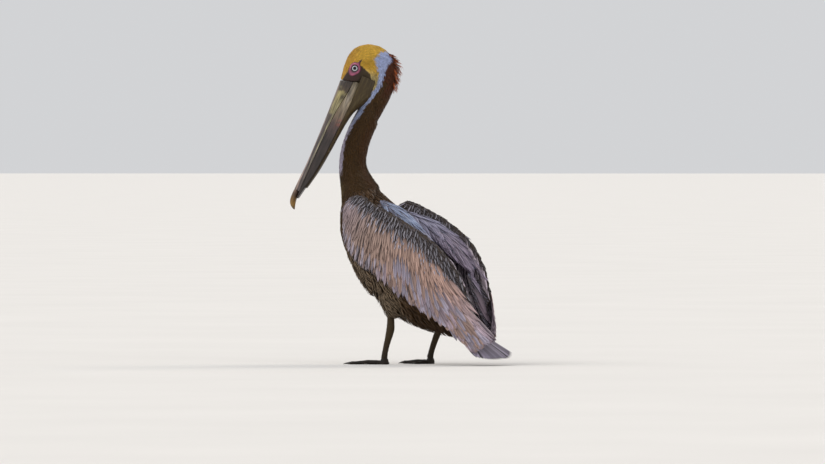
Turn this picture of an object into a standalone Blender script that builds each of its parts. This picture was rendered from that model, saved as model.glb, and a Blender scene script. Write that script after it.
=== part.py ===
"""Brown pelican, life size, standing on both feet with its wings folded and its bill resting near its neck.

Metres, +Z up. The bird faces -Y and its left side is +X. The origin is on the ground, under the middle of
the bird's bounding box. Head, neck and trunk are one tube along the spine, parted by thin cuts. The wings,
scapulars, thighs and pouch are separate forms laid against it and trimmed to it.
"""

from math import cos, pi, radians, sin

import bmesh
import bpy
from mathutils import Matrix, Vector

# ---------------------------------------------------------------------------
# Driving dimensions
# ---------------------------------------------------------------------------

BOX_CENTRE = Vector((0.0035, 0.1343, 0.0))  # of the finished bird, seen from above, from the root of the neck
CUT = 0.0003  # width of the thin cuts that part the body, and of every gap between pieces

HEAD_TURN = radians(25)  # towards the bird's left
HEAD_PIVOT_Y = 0.0595  # the head turns about an upright axis here

# The spine from tail to bill:
# (place, y, z, depth to the back, depth to the belly, half width, share of the head's turn)
SPINE = (
    ("tail root", 0.292, 0.090, 0.026, 0.027, 0.042, 0),
    ("rump", 0.232, 0.130, 0.052, 0.060, 0.072, 0),
    ("thighs", 0.168, 0.182, 0.078, 0.090, 0.093, 0),
    ("belly", 0.108, 0.238, 0.090, 0.095, 0.099, 0),
    ("breast", 0.064, 0.295, 0.088, 0.095, 0.097, 0),
    ("shoulders", 0.031, 0.350, 0.061, 0.087, 0.086, 0),
    ("neck root", 0.001, 0.405, 0.036, 0.057, 0.057, 0),
    ("low neck", -0.025, 0.452, 0.030, 0.038, 0.037, 0),
    ("fore neck", -0.033, 0.484, 0.032, 0.031, 0.031, 0),
    ("mid neck", -0.027, 0.514, 0.031, 0.031, 0.029, 0),
    ("bend of the neck", -0.010, 0.555, 0.029, 0.030, 0.028, 0),
    ("upper neck", 0.017, 0.598, 0.028, 0.029, 0.028, 0),
    ("throat", 0.043, 0.636, 0.029, 0.028, 0.028, 0.1),
    ("nape", 0.058, 0.670, 0.031, 0.028, 0.029, 0.45),
    ("hind crown", 0.0605, 0.700, 0.034, 0.026, 0.030, 1),
    ("back of the crown", 0.051, 0.722, 0.032, 0.021, 0.031, 1),
    ("crown", 0.030, 0.7345, 0.033, 0.019, 0.032, 1),
    ("forecrown", 0.008, 0.726, 0.038, 0.017, 0.032, 1),
    ("eyes", -0.006, 0.707, 0.0335, 0.025, 0.031, 1),
    ("lores", -0.0100, 0.690, 0.0345, 0.034, 0.029, 1),
    ("bill base", -0.0115, 0.6765, 0.037, 0.0385, 0.0265, 1),
)
PLACES = [station[0] for station in SPINE]
AROUND = 16  # sides of the body tube

EYE_RADIUS = 0.0105
EYE_Y, EYE_Z = -0.0060, 0.7070  # in the plane of the head
EYE_OUT = 0.0215  # of its centre, from that plane

# The bill, from the top of its base: along it, and across it towards the pouch
BILL_TOP_Y, BILL_TOP_Z = -0.0480, 0.678
BILL_DOWN = radians(67.3)  # how far the bill points below level
BILL_LENGTH = 0.282  # to the nail
LOWER_BILL_LENGTH = 0.299  # its tip lies under the nail
BILL_START = -0.016  # the bill's own solids begin inside the head, and are trimmed to it

# Across the bill, at even steps from its base to the nail
CREST = (0.0000, 0.0012, 0.0022, 0.0020, 0.0008, -0.0030)  # the ridge of the upper bill dips in the middle
LIP = (0.0350, 0.0240, 0.0185, 0.0160, 0.0145, 0.0125)  # where the upper bill meets the lower one
BILL_HALF_WIDTH = (0.0235, 0.0190, 0.0165, 0.0155, 0.0145, 0.0125)
JAW_FOOT = (0.0500, 0.0480, 0.0420, 0.0375, 0.0290, 0.0145)  # the foot of the lower bill's horn
POUCH_FOOT = (0.0960, 0.0600, 0.0500, 0.0436, 0.0355, 0.0235)
LEAST_JAW = 0.0020  # the lower bill is never thinner than this
BILL_STATIONS = 12

POUCH_START, POUCH_END = -0.034, 0.268  # along the bill
POUCH_STATIONS = 14
POUCH_WIDE = (1.28, 1.10, 0.92, 0.90, 0.90)  # times the half width of the bill
POUCH_BLUNT = (0.55, 0.65, 0.80, 0.80)

# The nail: (along, across) the middle of it, and how thick and wide it is there
NAIL_LINE = ((0.2824, 0.0045), (0.2980, 0.0040), (0.3120, 0.0058), (0.3215, 0.0112), (0.3270, 0.0165))
NAIL_THICK = (0.0074, 0.0079, 0.0078, 0.0050, 0.0010)
NAIL_HALF_WIDTH = (0.0120, 0.0118, 0.0100, 0.0062, 0.0014)


def flowing(values, t):
    """Catmull-Rom spline through the values, which may be numbers or vectors, at t = 0, 1, 2 and so on."""
    last = len(values) - 1
    i = min(max(int(t), 0), last - 1)
    f = t - i
    here, after = values[i], values[i + 1]
    out = (after - values[max(i - 1, 0)]) / 2
    into = (values[min(i + 2, last)] - here) / 2
    return (
        here * (2 * f**3 - 3 * f**2 + 1)
        + out * (f**3 - 2 * f**2 + f)
        + after * (3 * f**2 - 2 * f**3)
        + into * (f**3 - f**2)
    )


def share(t, *values):
    """The flowing value at share t, 0 to 1, of the way through the values, evenly spaced."""
    return flowing(values, t * (len(values) - 1))


# ---------------------------------------------------------------------------
# Making solids
# ---------------------------------------------------------------------------


def collection(name, hidden=False):
    made = bpy.data.collections.new(name)
    bpy.context.scene.collection.children.link(made)
    made.hide_render = hidden
    return made


def material(name, colour, roughness):
    """colour is sRGB, 0 to 1."""
    made = bpy.data.materials.new(name)
    made.use_nodes = True
    shader = made.node_tree.nodes["Principled BSDF"]
    linear = [((c + 0.055) / 1.055) ** 2.4 for c in colour]
    shader.inputs["Base Color"].default_value = (*linear, 1)
    shader.inputs["Roughness"].default_value = roughness
    shader.inputs["Metallic"].default_value = 0.0
    return made


def add(name, mesh, finish, home=None):
    """A new object in the bird's collection, smooth but for its sharp edges."""
    obj = bpy.data.objects.new(name, mesh)
    (home or pelican).objects.link(obj)
    obj.parent = stand_point
    if finish:
        mesh.materials.append(finish)
    mesh.shade_smooth()
    mesh.set_sharp_from_angle(angle=radians(50))
    return obj


def loft_mesh(name, rings):
    """A closed solid through rings of as many points each, with flat ends."""
    bm = bmesh.new()
    rows = [[bm.verts.new(point) for point in ring] for ring in rings]
    for low, high in zip(rows, rows[1:]):
        for i, corner in enumerate(low):
            j = (i + 1) % len(low)
            bm.faces.new((corner, low[j], high[j], high[i]))
    bm.faces.new(reversed(rows[0]))
    bm.faces.new(rows[-1])
    bmesh.ops.remove_doubles(bm, verts=bm.verts, dist=0.00002)
    bmesh.ops.recalc_face_normals(bm, faces=bm.faces)
    bmesh.ops.triangulate(bm, faces=bm.faces, quad_method="FIXED")  # a solid and its cutter bend alike
    mesh = bpy.data.meshes.new(name)
    bm.to_mesh(mesh)
    bm.free()
    return mesh


def loft(name, rings, finish, home=None):
    return add(name, loft_mesh(name, rings), finish, home)


def boolean(obj, operation, other):
    modifier = obj.modifiers.new(f"{operation.lower()} {other.name}", "BOOLEAN")
    modifier.operation = operation
    modifier.object = other
    modifier.solver = "EXACT"


def trim(obj, *others):
    """Cuts other solids, each kept in the cutters' collection, out of this one."""
    for other in others:
        boolean(obj, "DIFFERENCE", other)


def cutter(name, rings, grow=0.0):
    made = loft(name, rings, None, cutters)
    made.hide_render = True
    made.display_type = "WIRE"
    if grow:
        swell = made.modifiers.new("swell", "DISPLACE")
        swell.strength, swell.mid_level = grow, 0.0
    return made


# ---------------------------------------------------------------------------
# Head, neck and trunk
# ---------------------------------------------------------------------------


def in_head(out, y, z, turn=1.0):
    """The point at y and z in the plane of the head, and out to its left, turned with the head."""
    turned = Matrix.Rotation(HEAD_TURN * turn, 3, "Z") @ Vector((out, y - HEAD_PIVOT_Y, 0))
    return turned + Vector((0, HEAD_PIVOT_Y, z))


def spine(t):
    y, z, turn = (flowing([station[k] for station in SPINE], t) for k in (1, 2, 6))
    return in_head(0, y, z, turn)


def spine_axes(t):
    """Ahead along the spine, the bird's left, and towards its back."""
    step = 0.02
    ahead = (spine(min(t + step, len(SPINE) - 1)) - spine(max(t - step, 0))).normalized()
    turn = flowing([station[6] for station in SPINE], t) * HEAD_TURN
    left = Vector((cos(turn), sin(turn), 0))
    left = (left - ahead * left.dot(ahead)).normalized()
    return ahead, left, ahead.cross(left)


def body_ring(t, grow=0.0, around=AROUND):
    """The skin of the body at t along the spine, as a ring of points. It may be grown, for a cutter."""
    back, belly, wide = (flowing([station[k] for station in SPINE], t) + grow for k in (3, 4, 5))
    centre = spine(t)
    _, left, up = spine_axes(t)
    ring = []
    for i in range(around):
        angle = 2 * pi * i / around
        deep = back if sin(angle) > 0 else belly
        ring.append(centre + left * wide * cos(angle) + up * deep * sin(angle))
    return ring


def body_between(first, last, steps, grow=0.0):
    """Rings of the body tube from one place on the spine to another. Each end is drawn in by half a cut."""
    low, high = PLACES.index(first), PLACES.index(last)
    half = CUT / 2 - grow
    start = low + half / (spine(low + 0.5) - spine(low)).length / 2
    end = high - half / (spine(high) - spine(high - 0.5)).length / 2
    return [body_ring(start + (end - start) * i / steps, grow) for i in range(steps + 1)]


# The flesh that closes the inside of the bend between head and neck: (height, share of its full size)
THROAT = ((0.670, 0.62), (0.678, 0.95), (0.700, 1.05), (0.718, 0.85), (0.728, 0.45))
THROAT_HALF_WIDTH, THROAT_HALF_LENGTH = 0.0275, 0.0280
THROAT_Y = 0.0270
THROAT_SIDES = 12


def throat_rings():
    rings = []
    for high, size in THROAT:
        ring = []
        for i in range(THROAT_SIDES):
            angle = 2 * pi * i / THROAT_SIDES
            out = THROAT_HALF_WIDTH * size * cos(angle)
            ring.append(in_head(out, THROAT_Y + THROAT_HALF_LENGTH * size * sin(angle), high))
        rings.append(ring)
    return rings


# ---------------------------------------------------------------------------
# Bill and pouch
# ---------------------------------------------------------------------------


def on_bill(along, across, out=0.0):
    """The point so far along the bill from its base, across it towards the pouch, and out to its left."""
    y = BILL_TOP_Y - along * cos(BILL_DOWN) + across * sin(BILL_DOWN)
    z = BILL_TOP_Z - along * sin(BILL_DOWN) - across * cos(BILL_DOWN)
    return in_head(out, y, z)


def along_bill(along, values, length=BILL_LENGTH):
    """The flowing value at a place along the bill. Before its base and past its tip it stays the same."""
    return share(min(max(along / length, 0), 1), *values)


def arch(along, foot, crest, half_width, points=9, blunt=1.0):
    """Half an oval on a flat base: the base lies across at foot, the top of the oval at crest."""
    ring = []
    for i in range(points):
        angle = pi * i / (points - 1)
        high = sin(angle) ** blunt
        ring.append(on_bill(along, foot + (crest - foot) * high, half_width * cos(angle)))
    return ring


def upper_bill_rings():
    rings = []
    for i in range(BILL_STATIONS + 1):
        along = BILL_START + (BILL_LENGTH - BILL_START) * i / BILL_STATIONS
        foot, crest, wide = (along_bill(along, row) for row in (LIP, CREST, BILL_HALF_WIDTH))
        rings.append(arch(along, foot, crest, wide, blunt=0.75))
    return rings


def lower_bill_rings():
    rings = []
    for i in range(BILL_STATIONS + 1):
        along = BILL_START + (LOWER_BILL_LENGTH - BILL_START) * i / BILL_STATIONS
        top = along_bill(along, LIP) + CUT
        foot = max(along_bill(along, JAW_FOOT, LOWER_BILL_LENGTH), top + LEAST_JAW)
        wide = along_bill(along, BILL_HALF_WIDTH)
        middle = (top + foot) / 2
        rings.append(
            [
                on_bill(along, top, wide * 0.94),
                on_bill(along, top, 0),
                on_bill(along, top, -wide * 0.94),
                on_bill(along, middle, -wide * 1.0),
                on_bill(along, foot, -wide * 0.86),
                on_bill(along, foot, 0),
                on_bill(along, foot, wide * 0.86),
                on_bill(along, middle, wide * 1.0),
            ]
        )
    return rings


def pouch_rings():
    rings = []
    for i in range(POUCH_STATIONS + 1):
        t = i / POUCH_STATIONS
        along = POUCH_START + (POUCH_END - POUCH_START) * t
        foot = along_bill(along, JAW_FOOT, LOWER_BILL_LENGTH) + 2 * CUT
        wide = along_bill(along, BILL_HALF_WIDTH) * share(t, *POUCH_WIDE)
        rings.append(arch(along, foot, along_bill(along, POUCH_FOOT), wide, blunt=share(t, *POUCH_BLUNT)))
    return rings


def nail_rings():
    """The hooked nail on the tip of the upper bill, along a curve."""
    line = [Vector(p) for p in NAIL_LINE]
    rings = []
    steps, around = 7, 10
    for i in range(steps + 1):
        t = i / steps
        centre = share(t, *line)
        ahead = (share(min(t + 0.02, 1), *line) - share(max(t - 0.02, 0), *line)).normalized()
        thick, wide = share(t, *NAIL_THICK), share(t, *NAIL_HALF_WIDTH)
        ring = []
        for k in range(around):
            angle = 2 * pi * k / around
            side = thick * sin(angle)
            ring.append(on_bill(centre.x - ahead.y * side, centre.y + ahead.x * side, wide * cos(angle)))
        rings.append(ring)
    return rings


# ---------------------------------------------------------------------------
# Wings, scapulars and tail
# ---------------------------------------------------------------------------

# Landmarks of the folded left wing: (out, y, z)
WING_TOP = (
    (0.100, 0.020, 0.385),  # front of the wrist
    (0.110, 0.050, 0.404),
    (0.113, 0.130, 0.377),  # middle of the forearm
    (0.104, 0.205, 0.338),
    (0.088, 0.268, 0.294),  # elbow
    (0.072, 0.322, 0.228),
    (0.060, 0.352, 0.150),
    (0.050, 0.372, 0.080),
    (0.046, 0.392, 0.022),  # tip of the longest primary
)
WING_FOOT = (
    (0.100, 0.018, 0.360),  # under the wrist
    (0.106, 0.022, 0.285),
    (0.108, 0.062, 0.238),
    (0.106, 0.124, 0.199),
    (0.100, 0.184, 0.160),
    (0.089, 0.246, 0.124),
    (0.076, 0.302, 0.088),
    (0.063, 0.350, 0.046),
    (0.048, 0.388, 0.014),
)
WING_BULGE = (0.006, 0.014, 0.018, 0.020, 0.018, 0.015, 0.010, 0.005, 0.001)
WING_THICK_TOP = (0.046, 0.056, 0.048, 0.040, 0.034, 0.028, 0.020, 0.012, 0.003)
WING_THICK_FOOT = (0.034, 0.022, 0.014, 0.010, 0.009, 0.008, 0.005, 0.003, 0.002)
WING_HAND = 0.70  # share of the wing's length where its hand, with the primaries, shows
HAND_GAP = 0.0008  # share of the length between arm and hand

# The right wing is held closer and lower than the left one, with its tip higher and further ahead: it moves
RIGHT_OUT = (-0.004, -0.007, -0.006, -0.003, 0.002)
RIGHT_BACK = (0.016, 0.013, 0.003, 0.004, 0.002, -0.006, -0.012, -0.024, -0.050)
RIGHT_UP = (-0.012, -0.008, -0.006, -0.004, -0.003, -0.001, 0.001, 0.005, 0.014)


def wing_drift(side, t):
    if side > 0:
        return Vector((0, 0, 0))
    return Vector([share(t, *row) for row in (RIGHT_OUT, RIGHT_BACK, RIGHT_UP)])


def wing_section(side, t):
    """One section of the folded wing, from its upper edge round the outside to its foot and back inside."""
    span, drift = len(WING_TOP) - 1, wing_drift(side, t)
    top = flowing([Vector(p) for p in WING_TOP], t * span) + drift
    foot = flowing([Vector(p) for p in WING_FOOT], t * span) + drift
    bulge, thick_top, thick_foot = (share(t, *row) for row in (WING_BULGE, WING_THICK_TOP, WING_THICK_FOOT))
    outer, inner = [], []
    steps = 6
    for i in range(steps + 1):
        v = i / steps
        round_off = 1 - (1 - min(v / 0.22, 1)) ** 2  # the upper edge is rounded
        line = top.lerp(foot, v)
        swell = bulge * sin(pi * v**0.8)
        thick = (thick_top + (thick_foot - thick_top) * v) * (0.35 + 0.65 * round_off)
        outer.append(line + Vector((swell - (1 - round_off) * min(thick_top, 0.024) * 0.3, 0, 0)))
        inner.append(line + Vector((swell - thick, 0, 0)))
    return [Vector((side * p.x, p.y, p.z)) for p in outer + inner[::-1]]


def wing_rings(side, first, last, steps):
    return [wing_section(side, first + (last - first) * i / steps) for i in range(steps + 1)]


# The pads of long feathers on the back: (out, y, z) along the middle of each, front to rear. The left
# scapulars are pushed up at the front by the wing beside them.
SCAPULAR_LINE = {
    "left": (
        (0.044, 0.080, 0.392),
        (0.050, 0.128, 0.362),
        (0.056, 0.185, 0.314),
        (0.051, 0.242, 0.258),
        (0.042, 0.290, 0.212),
    ),
    "right": (
        (0.044, 0.080, 0.366),
        (0.052, 0.128, 0.340),
        (0.056, 0.185, 0.308),
        (0.051, 0.242, 0.266),
        (0.042, 0.290, 0.218),
    ),
}
SCAPULAR_WIDE = (0.012, 0.031, 0.035, 0.031, 0.010)
SCAPULAR_DEEP = (0.008, 0.020, 0.023, 0.020, 0.004)
TERTIAL_LINE = (
    (0.040, 0.276, 0.218),
    (0.042, 0.301, 0.172),
    (0.039, 0.324, 0.122),
    (0.035, 0.344, 0.082),
)
TERTIAL_WIDE = (0.014, 0.028, 0.026, 0.009)
TERTIAL_DEEP = (0.006, 0.013, 0.010, 0.002)


def pad_rings(side, line, wide_values, deep_values, steps=9, around=10):
    """A pad of long feathers along the back, between spine and wing."""
    line = [Vector(p) for p in line]
    rings = []
    for i in range(steps + 1):
        t = i / steps
        centre = share(t, *line)
        ahead = (share(min(t + 0.02, 1), *line) - share(max(t - 0.02, 0), *line)).normalized()
        out = Vector((1, 0, 0))
        out = (out - ahead * out.dot(ahead)).normalized()
        up = out.cross(ahead)
        wide, deep = share(t, *wide_values), share(t, *deep_values)
        ring = []
        for k in range(around):
            angle = 2 * pi * k / around
            p = centre + out * wide * cos(angle) + up * deep * sin(angle)
            ring.append(Vector((side * p.x, p.y, p.z)))
        rings.append(ring)
    return rings


TAIL_ROOT, TAIL_TIP = Vector((0, 0.2935, 0.0895)), Vector((0, 0.4165, 0.0170))
TAIL_ROLL = 0.20  # its left edge is lower than its right
TAIL_HALF_WIDTH = (0.026, 0.034, 0.040, 0.044, 0.046)
TAIL_HALF_THICK = (0.0150, 0.0075, 0.0045, 0.0032, 0.0022)
TAIL_ROUNDED = 0.022  # the outermost feathers end so far short of the middle ones
TAIL_ARCH = 0.006  # its edges lie so much lower than its middle


def tail_rings():
    """The fan of tail feathers, arched across and thinning to its edge."""
    steps, across = 8, 9
    ahead = (TAIL_TIP - TAIL_ROOT).normalized()
    up = Vector((1, 0, 0)).cross(ahead)
    rings = []
    for i in range(steps + 1):
        t = i / steps
        half, thick = share(t, *TAIL_HALF_WIDTH), share(t, *TAIL_HALF_THICK)
        upper, lower = [], []
        for k in range(across):
            s = 2 * k / (across - 1) - 1
            rounded = t * TAIL_ROUNDED * s**4
            middle = TAIL_ROOT.lerp(TAIL_TIP, t) - ahead * rounded + Vector((half * s, 0, 0))
            middle -= up * (TAIL_ARCH * s * s + TAIL_ROLL * t * half * s)
            edge = thick * (1 - 0.7 * s * s)
            upper.append(middle + up * edge)
            lower.append(middle - up * edge)
        rings.append(upper + lower[::-1])
    return rings


# ---------------------------------------------------------------------------
# Legs and feet
# ---------------------------------------------------------------------------

# Side, and where each foot's ankle stands
STANCE = {"left": (1, 0.055, 0.0990), "right": (-1, -0.055, 0.1560)}
TOE_OUT = radians(10)
LEG_FOOT, KNUCKLE_Z, HEEL_Z = 0.0168, 0.0450, 0.0840  # heights along the leg
LEG_LEAN = {"left": 0.0185, "right": 0.0265}  # how far back the heel is from the ankle
LEG_TOP = {"left": 0.1130, "right": 0.0840}  # where the leg goes into the thigh's feathers
LEG_RADII = {
    "left": (0.0084, 0.0078, 0.0080, 0.0094, 0.0112, 0.0100, 0.0086),
    "right": (0.0084, 0.0078, 0.0080, 0.0088, 0.0096),
}
LEG_SQUASH = 0.82  # its width as a share of its depth
THIGH_RADII = (0.0100, 0.0240, 0.0410, 0.0460)

# Toes: turn from straight ahead (outwards), length, radius at the root, height of the root off the ground
TOES = {
    "outer": (radians(25), 0.083, 0.0062, 0.0006),
    "middle": (radians(0), 0.087, 0.0064, 0.0003),
    "inner": (radians(-27), 0.067, 0.0060, 0.0009),
    "hind": (radians(-78), 0.042, 0.0050, 0.0012),
}
TOE_RISE = 0.0035  # how high a toe arches between its pads
CLAW_LINE = ((0, 0.46), (0.5, 0.52), (1, 0.16))  # share of its length, and height in radii of its toe
CLAW_THICK = (0.44, 0.36, 0.06)  # in radii of its toe
WEB_LOW, WEB_HIGH = 0.0016, 0.0034


def tube(line, radii, around=10, squash=1.0):
    """Rings of a round tube along a line of points."""
    rings = []
    for i, centre in enumerate(line):
        ahead = (line[min(i + 1, len(line) - 1)] - line[max(i - 1, 0)]).normalized()
        out = Vector((1, 0, 0))
        out = (out - ahead * out.dot(ahead)).normalized()
        up = ahead.cross(out)
        rings.append(
            [
                centre + radii[i] * (out * squash * cos(2 * pi * k / around) + up * sin(2 * pi * k / around))
                for k in range(around)
            ]
        )
    return rings


def leg_line(side_name):
    """From the ankle up to where the leg goes into the thigh's feathers."""
    _, x, y = STANCE[side_name]
    lean, top = LEG_LEAN[side_name], LEG_TOP[side_name]
    points = [
        Vector((x, y, LEG_FOOT)),
        Vector((x, y + lean * 0.35, KNUCKLE_Z)),
        Vector((x, y + lean, HEEL_Z)),
    ]
    if top > HEEL_Z:
        points.append(Vector((x + 0.001, y + lean + 0.001, top)))
    return points


def toe_direction(side, turn):
    angle = TOE_OUT + turn
    return Vector((side * sin(angle), -cos(angle), 0))


def toe_rings(side, ankle, turn, length, radius, root_height, around=9, steps=8):
    """A toe from the ankle to its tip: pads touch the ground, and the joints between arch off it."""
    ahead = toe_direction(side, turn)
    out = Vector((-ahead.y, ahead.x, 0))
    rings = []
    for i in range(steps + 1):
        t = i / steps
        r = radius * (1 - 0.42 * t) * (1 + 0.12 * cos(6 * pi * t))
        middle = r * 0.72 + TOE_RISE * sin(pi * t) ** 2 * (0.5 - 0.5 * cos(6 * pi * t))
        ring = []
        for k in range(around):
            angle = 2 * pi * (k + 0.5) / around
            point = ankle + ahead * length * t + out * r * cos(angle)
            point.z = max(middle + r * sin(angle), root_height * max(1 - t / 0.35, 0))
            ring.append(point)
        rings.append(ring)
    return rings


def web_outline(side, ankle):
    """Outline of the web from toe to toe: between two tips its edge is drawn in towards the ankle."""
    names = ("outer", "middle", "inner", "hind")
    tips = [ankle + toe_direction(side, TOES[n][0]) * TOES[n][1] * 0.93 for n in names]
    outline = []
    steps = 5
    for a, b in zip(tips, tips[1:]):
        pull = ((a + b) / 2).lerp(ankle, 0.17)
        for i in range(steps):
            t = i / steps
            outline.append(a * (1 - t) ** 2 + pull * 2 * t * (1 - t) + b * t * t)
    outline.append(tips[-1])
    heel = ankle + Vector((0, 0.004, 0))
    outline.append(heel)
    return outline


def web_mesh(name, outline):
    return loft_mesh(name, [[Vector((p.x, p.y, z)) for p in outline] for z in (WEB_LOW, WEB_HIGH)])


def build_foot(side_name):
    side, x, y = STANCE[side_name]
    ankle = Vector((x, y, 0))
    foot = loft(f"foot_{side_name}", toe_rings(side, ankle, *TOES["middle"]), finishes["leg"])
    for name in ("outer", "inner", "hind"):
        boolean(foot, "UNION", cutter(f"toe {side_name} {name}", toe_rings(side, ankle, *TOES[name])))
    web = add(f"web {side_name}", web_mesh("web", web_outline(side, ankle)), None, cutters)
    web.hide_render, web.display_type = True, "WIRE"
    boolean(foot, "UNION", web)
    line = [ankle + Vector((0, 0.001, h)) for h in (0.0, 0.006, 0.0105, 0.014 - CUT)]
    boolean(foot, "UNION", cutter(f"ankle {side_name}", tube(line, (0.0105, 0.0110, 0.0098, 0.0086))))
    for name, (turn, length, radius, _) in TOES.items():
        ahead = toe_direction(side, turn)
        tip = ankle + ahead * (length + CUT)
        claw = 0.16 * length + 0.002
        line = [tip + ahead * claw * t + Vector((0, 0, radius * high)) for t, high in CLAW_LINE]
        rings = tube(line, [radius * thick for thick in CLAW_THICK], around=8)
        loft(f"claw_{side_name}_{name}", rings, finishes["horn"])


def build_leg(side_name):
    line = leg_line(side_name)
    steps = 9
    points = [share(i / steps, *line) for i in range(steps + 1)]
    radii = [share(i / steps, *LEG_RADII[side_name]) for i in range(steps + 1)]
    loft(f"leg_{side_name}", tube(points, radii, squash=LEG_SQUASH), finishes["leg"])


def build_thigh(side_name):
    side = STANCE[side_name][0]
    top = leg_line(side_name)[-1]
    line = [
        top + Vector((0, 0, 0.0025)),
        top + Vector((0, 0.003, 0.0145)),
        top + Vector((-side * 0.005, 0.008, 0.0365)),
        top + Vector((-side * 0.017, 0.014, 0.0665)),
    ]
    steps = 7
    points = [share(i / steps, *line) for i in range(steps + 1)]
    radii = [share(i / steps, *THIGH_RADII) for i in range(steps + 1)]
    thigh = loft(f"thigh_{side_name}", tube(points, radii, around=14), finishes["dark"])
    trim(thigh, trunk_cutter, arm_cutters[side_name])


# ---------------------------------------------------------------------------
# Build
# ---------------------------------------------------------------------------

for old in list(bpy.data.objects):
    bpy.data.objects.remove(old)

pelican = collection("brown pelican")
cutters = collection("cutters", hidden=True)
stand_point = bpy.data.objects.new("stand point", None)
pelican.objects.link(stand_point)
stand_point.location = -BOX_CENTRE

finishes = {
    "head": material("yellow head feathers", (0.86, 0.66, 0.22), 0.85),
    "neck": material("chestnut neck feathers", (0.27, 0.17, 0.10), 0.90),
    "dark": material("dark belly feathers", (0.24, 0.18, 0.13), 0.90),
    "grey": material("silver grey wing feathers", (0.56, 0.50, 0.49), 0.80),
    "edge": material("slate flight feathers", (0.40, 0.38, 0.42), 0.75),
    "horn": material("horn", (0.42, 0.37, 0.33), 0.45),
    "nail": material("amber nail of the bill", (0.60, 0.42, 0.16), 0.45),
    "skin": material("olive black pouch skin", (0.23, 0.19, 0.12), 0.65),
    "leg": material("dark leg skin", (0.22, 0.18, 0.14), 0.65),
    "eye": material("pale eye", (0.85, 0.88, 0.92), 0.15),
}

trunk_cutter = cutter("trunk grown", body_between("tail root", "neck root", 12, grow=CUT))
neck_cutter = cutter("neck grown", body_between("shoulders", "upper neck", 14, grow=CUT))
nape_cutter = cutter("nape grown", body_between("upper neck", "hind crown", 6, grow=0.9 * CUT))
head_cutter = cutter("head grown", body_between("hind crown", "bill base", 14, grow=CUT))

loft("trunk", body_between("tail root", "neck root", 12), finishes["dark"])
loft("neck_lower", body_between("neck root", "mid neck", 6), finishes["neck"])
loft("neck_middle", body_between("mid neck", "upper neck", 5), finishes["neck"])
loft("neck_upper", body_between("upper neck", "hind crown", 6), finishes["neck"])
head = loft("head", body_between("hind crown", "bill base", 14), finishes["head"])

boolean(head, "UNION", cutter("throat", throat_rings()))
trim(head, nape_cutter)
for side_name, side in (("left", 1), ("right", -1)):
    centre = in_head(side * EYE_OUT, EYE_Y, EYE_Z)
    for name, radius, finish, home in (
        (f"eye_{side_name}", EYE_RADIUS, finishes["eye"], pelican),
        (f"eye socket {side_name}", EYE_RADIUS + CUT, None, cutters),
    ):
        bm = bmesh.new()
        bmesh.ops.create_uvsphere(bm, u_segments=12, v_segments=8, radius=radius)
        bm.transform(Matrix.Translation(centre))
        mesh = bpy.data.meshes.new(name)
        bm.to_mesh(mesh)
        bm.free()
        ball = add(name, mesh, finish, home)
    ball.hide_render, ball.display_type = True, "WIRE"
    trim(head, ball)

trim(loft("bill_upper", upper_bill_rings(), finishes["horn"]), head_cutter)
loft("bill_nail", nail_rings(), finishes["nail"])
trim(loft("bill_lower", lower_bill_rings(), finishes["horn"]), head_cutter)
pouch = loft("pouch", pouch_rings(), finishes["skin"])
trim(pouch, head_cutter, cutter("throat grown", throat_rings(), 1.5 * CUT), nape_cutter)


tail = loft("tail", tail_rings(), finishes["edge"])
tail_cutter = cutter("tail grown", tail_rings(), 1.5 * CUT)
arm_cutters = {}
for side_name, (side, *_) in STANCE.items():
    arm_rings = wing_rings(side, 0, WING_HAND, 11)
    arm_cutters[side_name] = cutter(f"arm grown {side_name}", arm_rings, 1.5 * CUT)
    trim(loft(f"wing_{side_name}_arm", arm_rings, finishes["grey"]), trunk_cutter, neck_cutter)
    hand_rings = wing_rings(side, WING_HAND + HAND_GAP, 1, 5)
    trim(loft(f"wing_{side_name}_hand", hand_rings, finishes["edge"]), trunk_cutter)
    hand_cutter = cutter(f"hand grown {side_name}", wing_rings(side, WING_HAND, 1, 5), 1.5 * CUT)
    trim(tail, hand_cutter)
    pad = pad_rings(side, SCAPULAR_LINE[side_name], SCAPULAR_WIDE, SCAPULAR_DEEP)
    scapulars = loft(f"scapulars_{side_name}", pad, finishes["grey"])
    trim(scapulars, trunk_cutter, neck_cutter, arm_cutters[side_name])
    scapular_cutter = cutter(f"scapulars grown {side_name}", pad, 1.5 * CUT)
    pad = pad_rings(side, TERTIAL_LINE, TERTIAL_WIDE, TERTIAL_DEEP)
    tertials = loft(f"tertials_{side_name}", pad, finishes["grey"])
    trim(tertials, trunk_cutter, arm_cutters[side_name], hand_cutter, tail_cutter, scapular_cutter)

for side_name in STANCE:
    build_thigh(side_name)
    build_leg(side_name)
    build_foot(side_name)
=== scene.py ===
# A brown pelican at life size, as a museum shows one: it stands on both feet with its wings folded and its
# bill held low. Skin, feathers, bill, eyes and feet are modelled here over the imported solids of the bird.
# It faces -Y with its left side towards +X, and everything is in metres.
import math

import bmesh
import bpy
import numpy as np
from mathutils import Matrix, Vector, kdtree, noise
from mathutils.bvhtree import BVHTree


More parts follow.
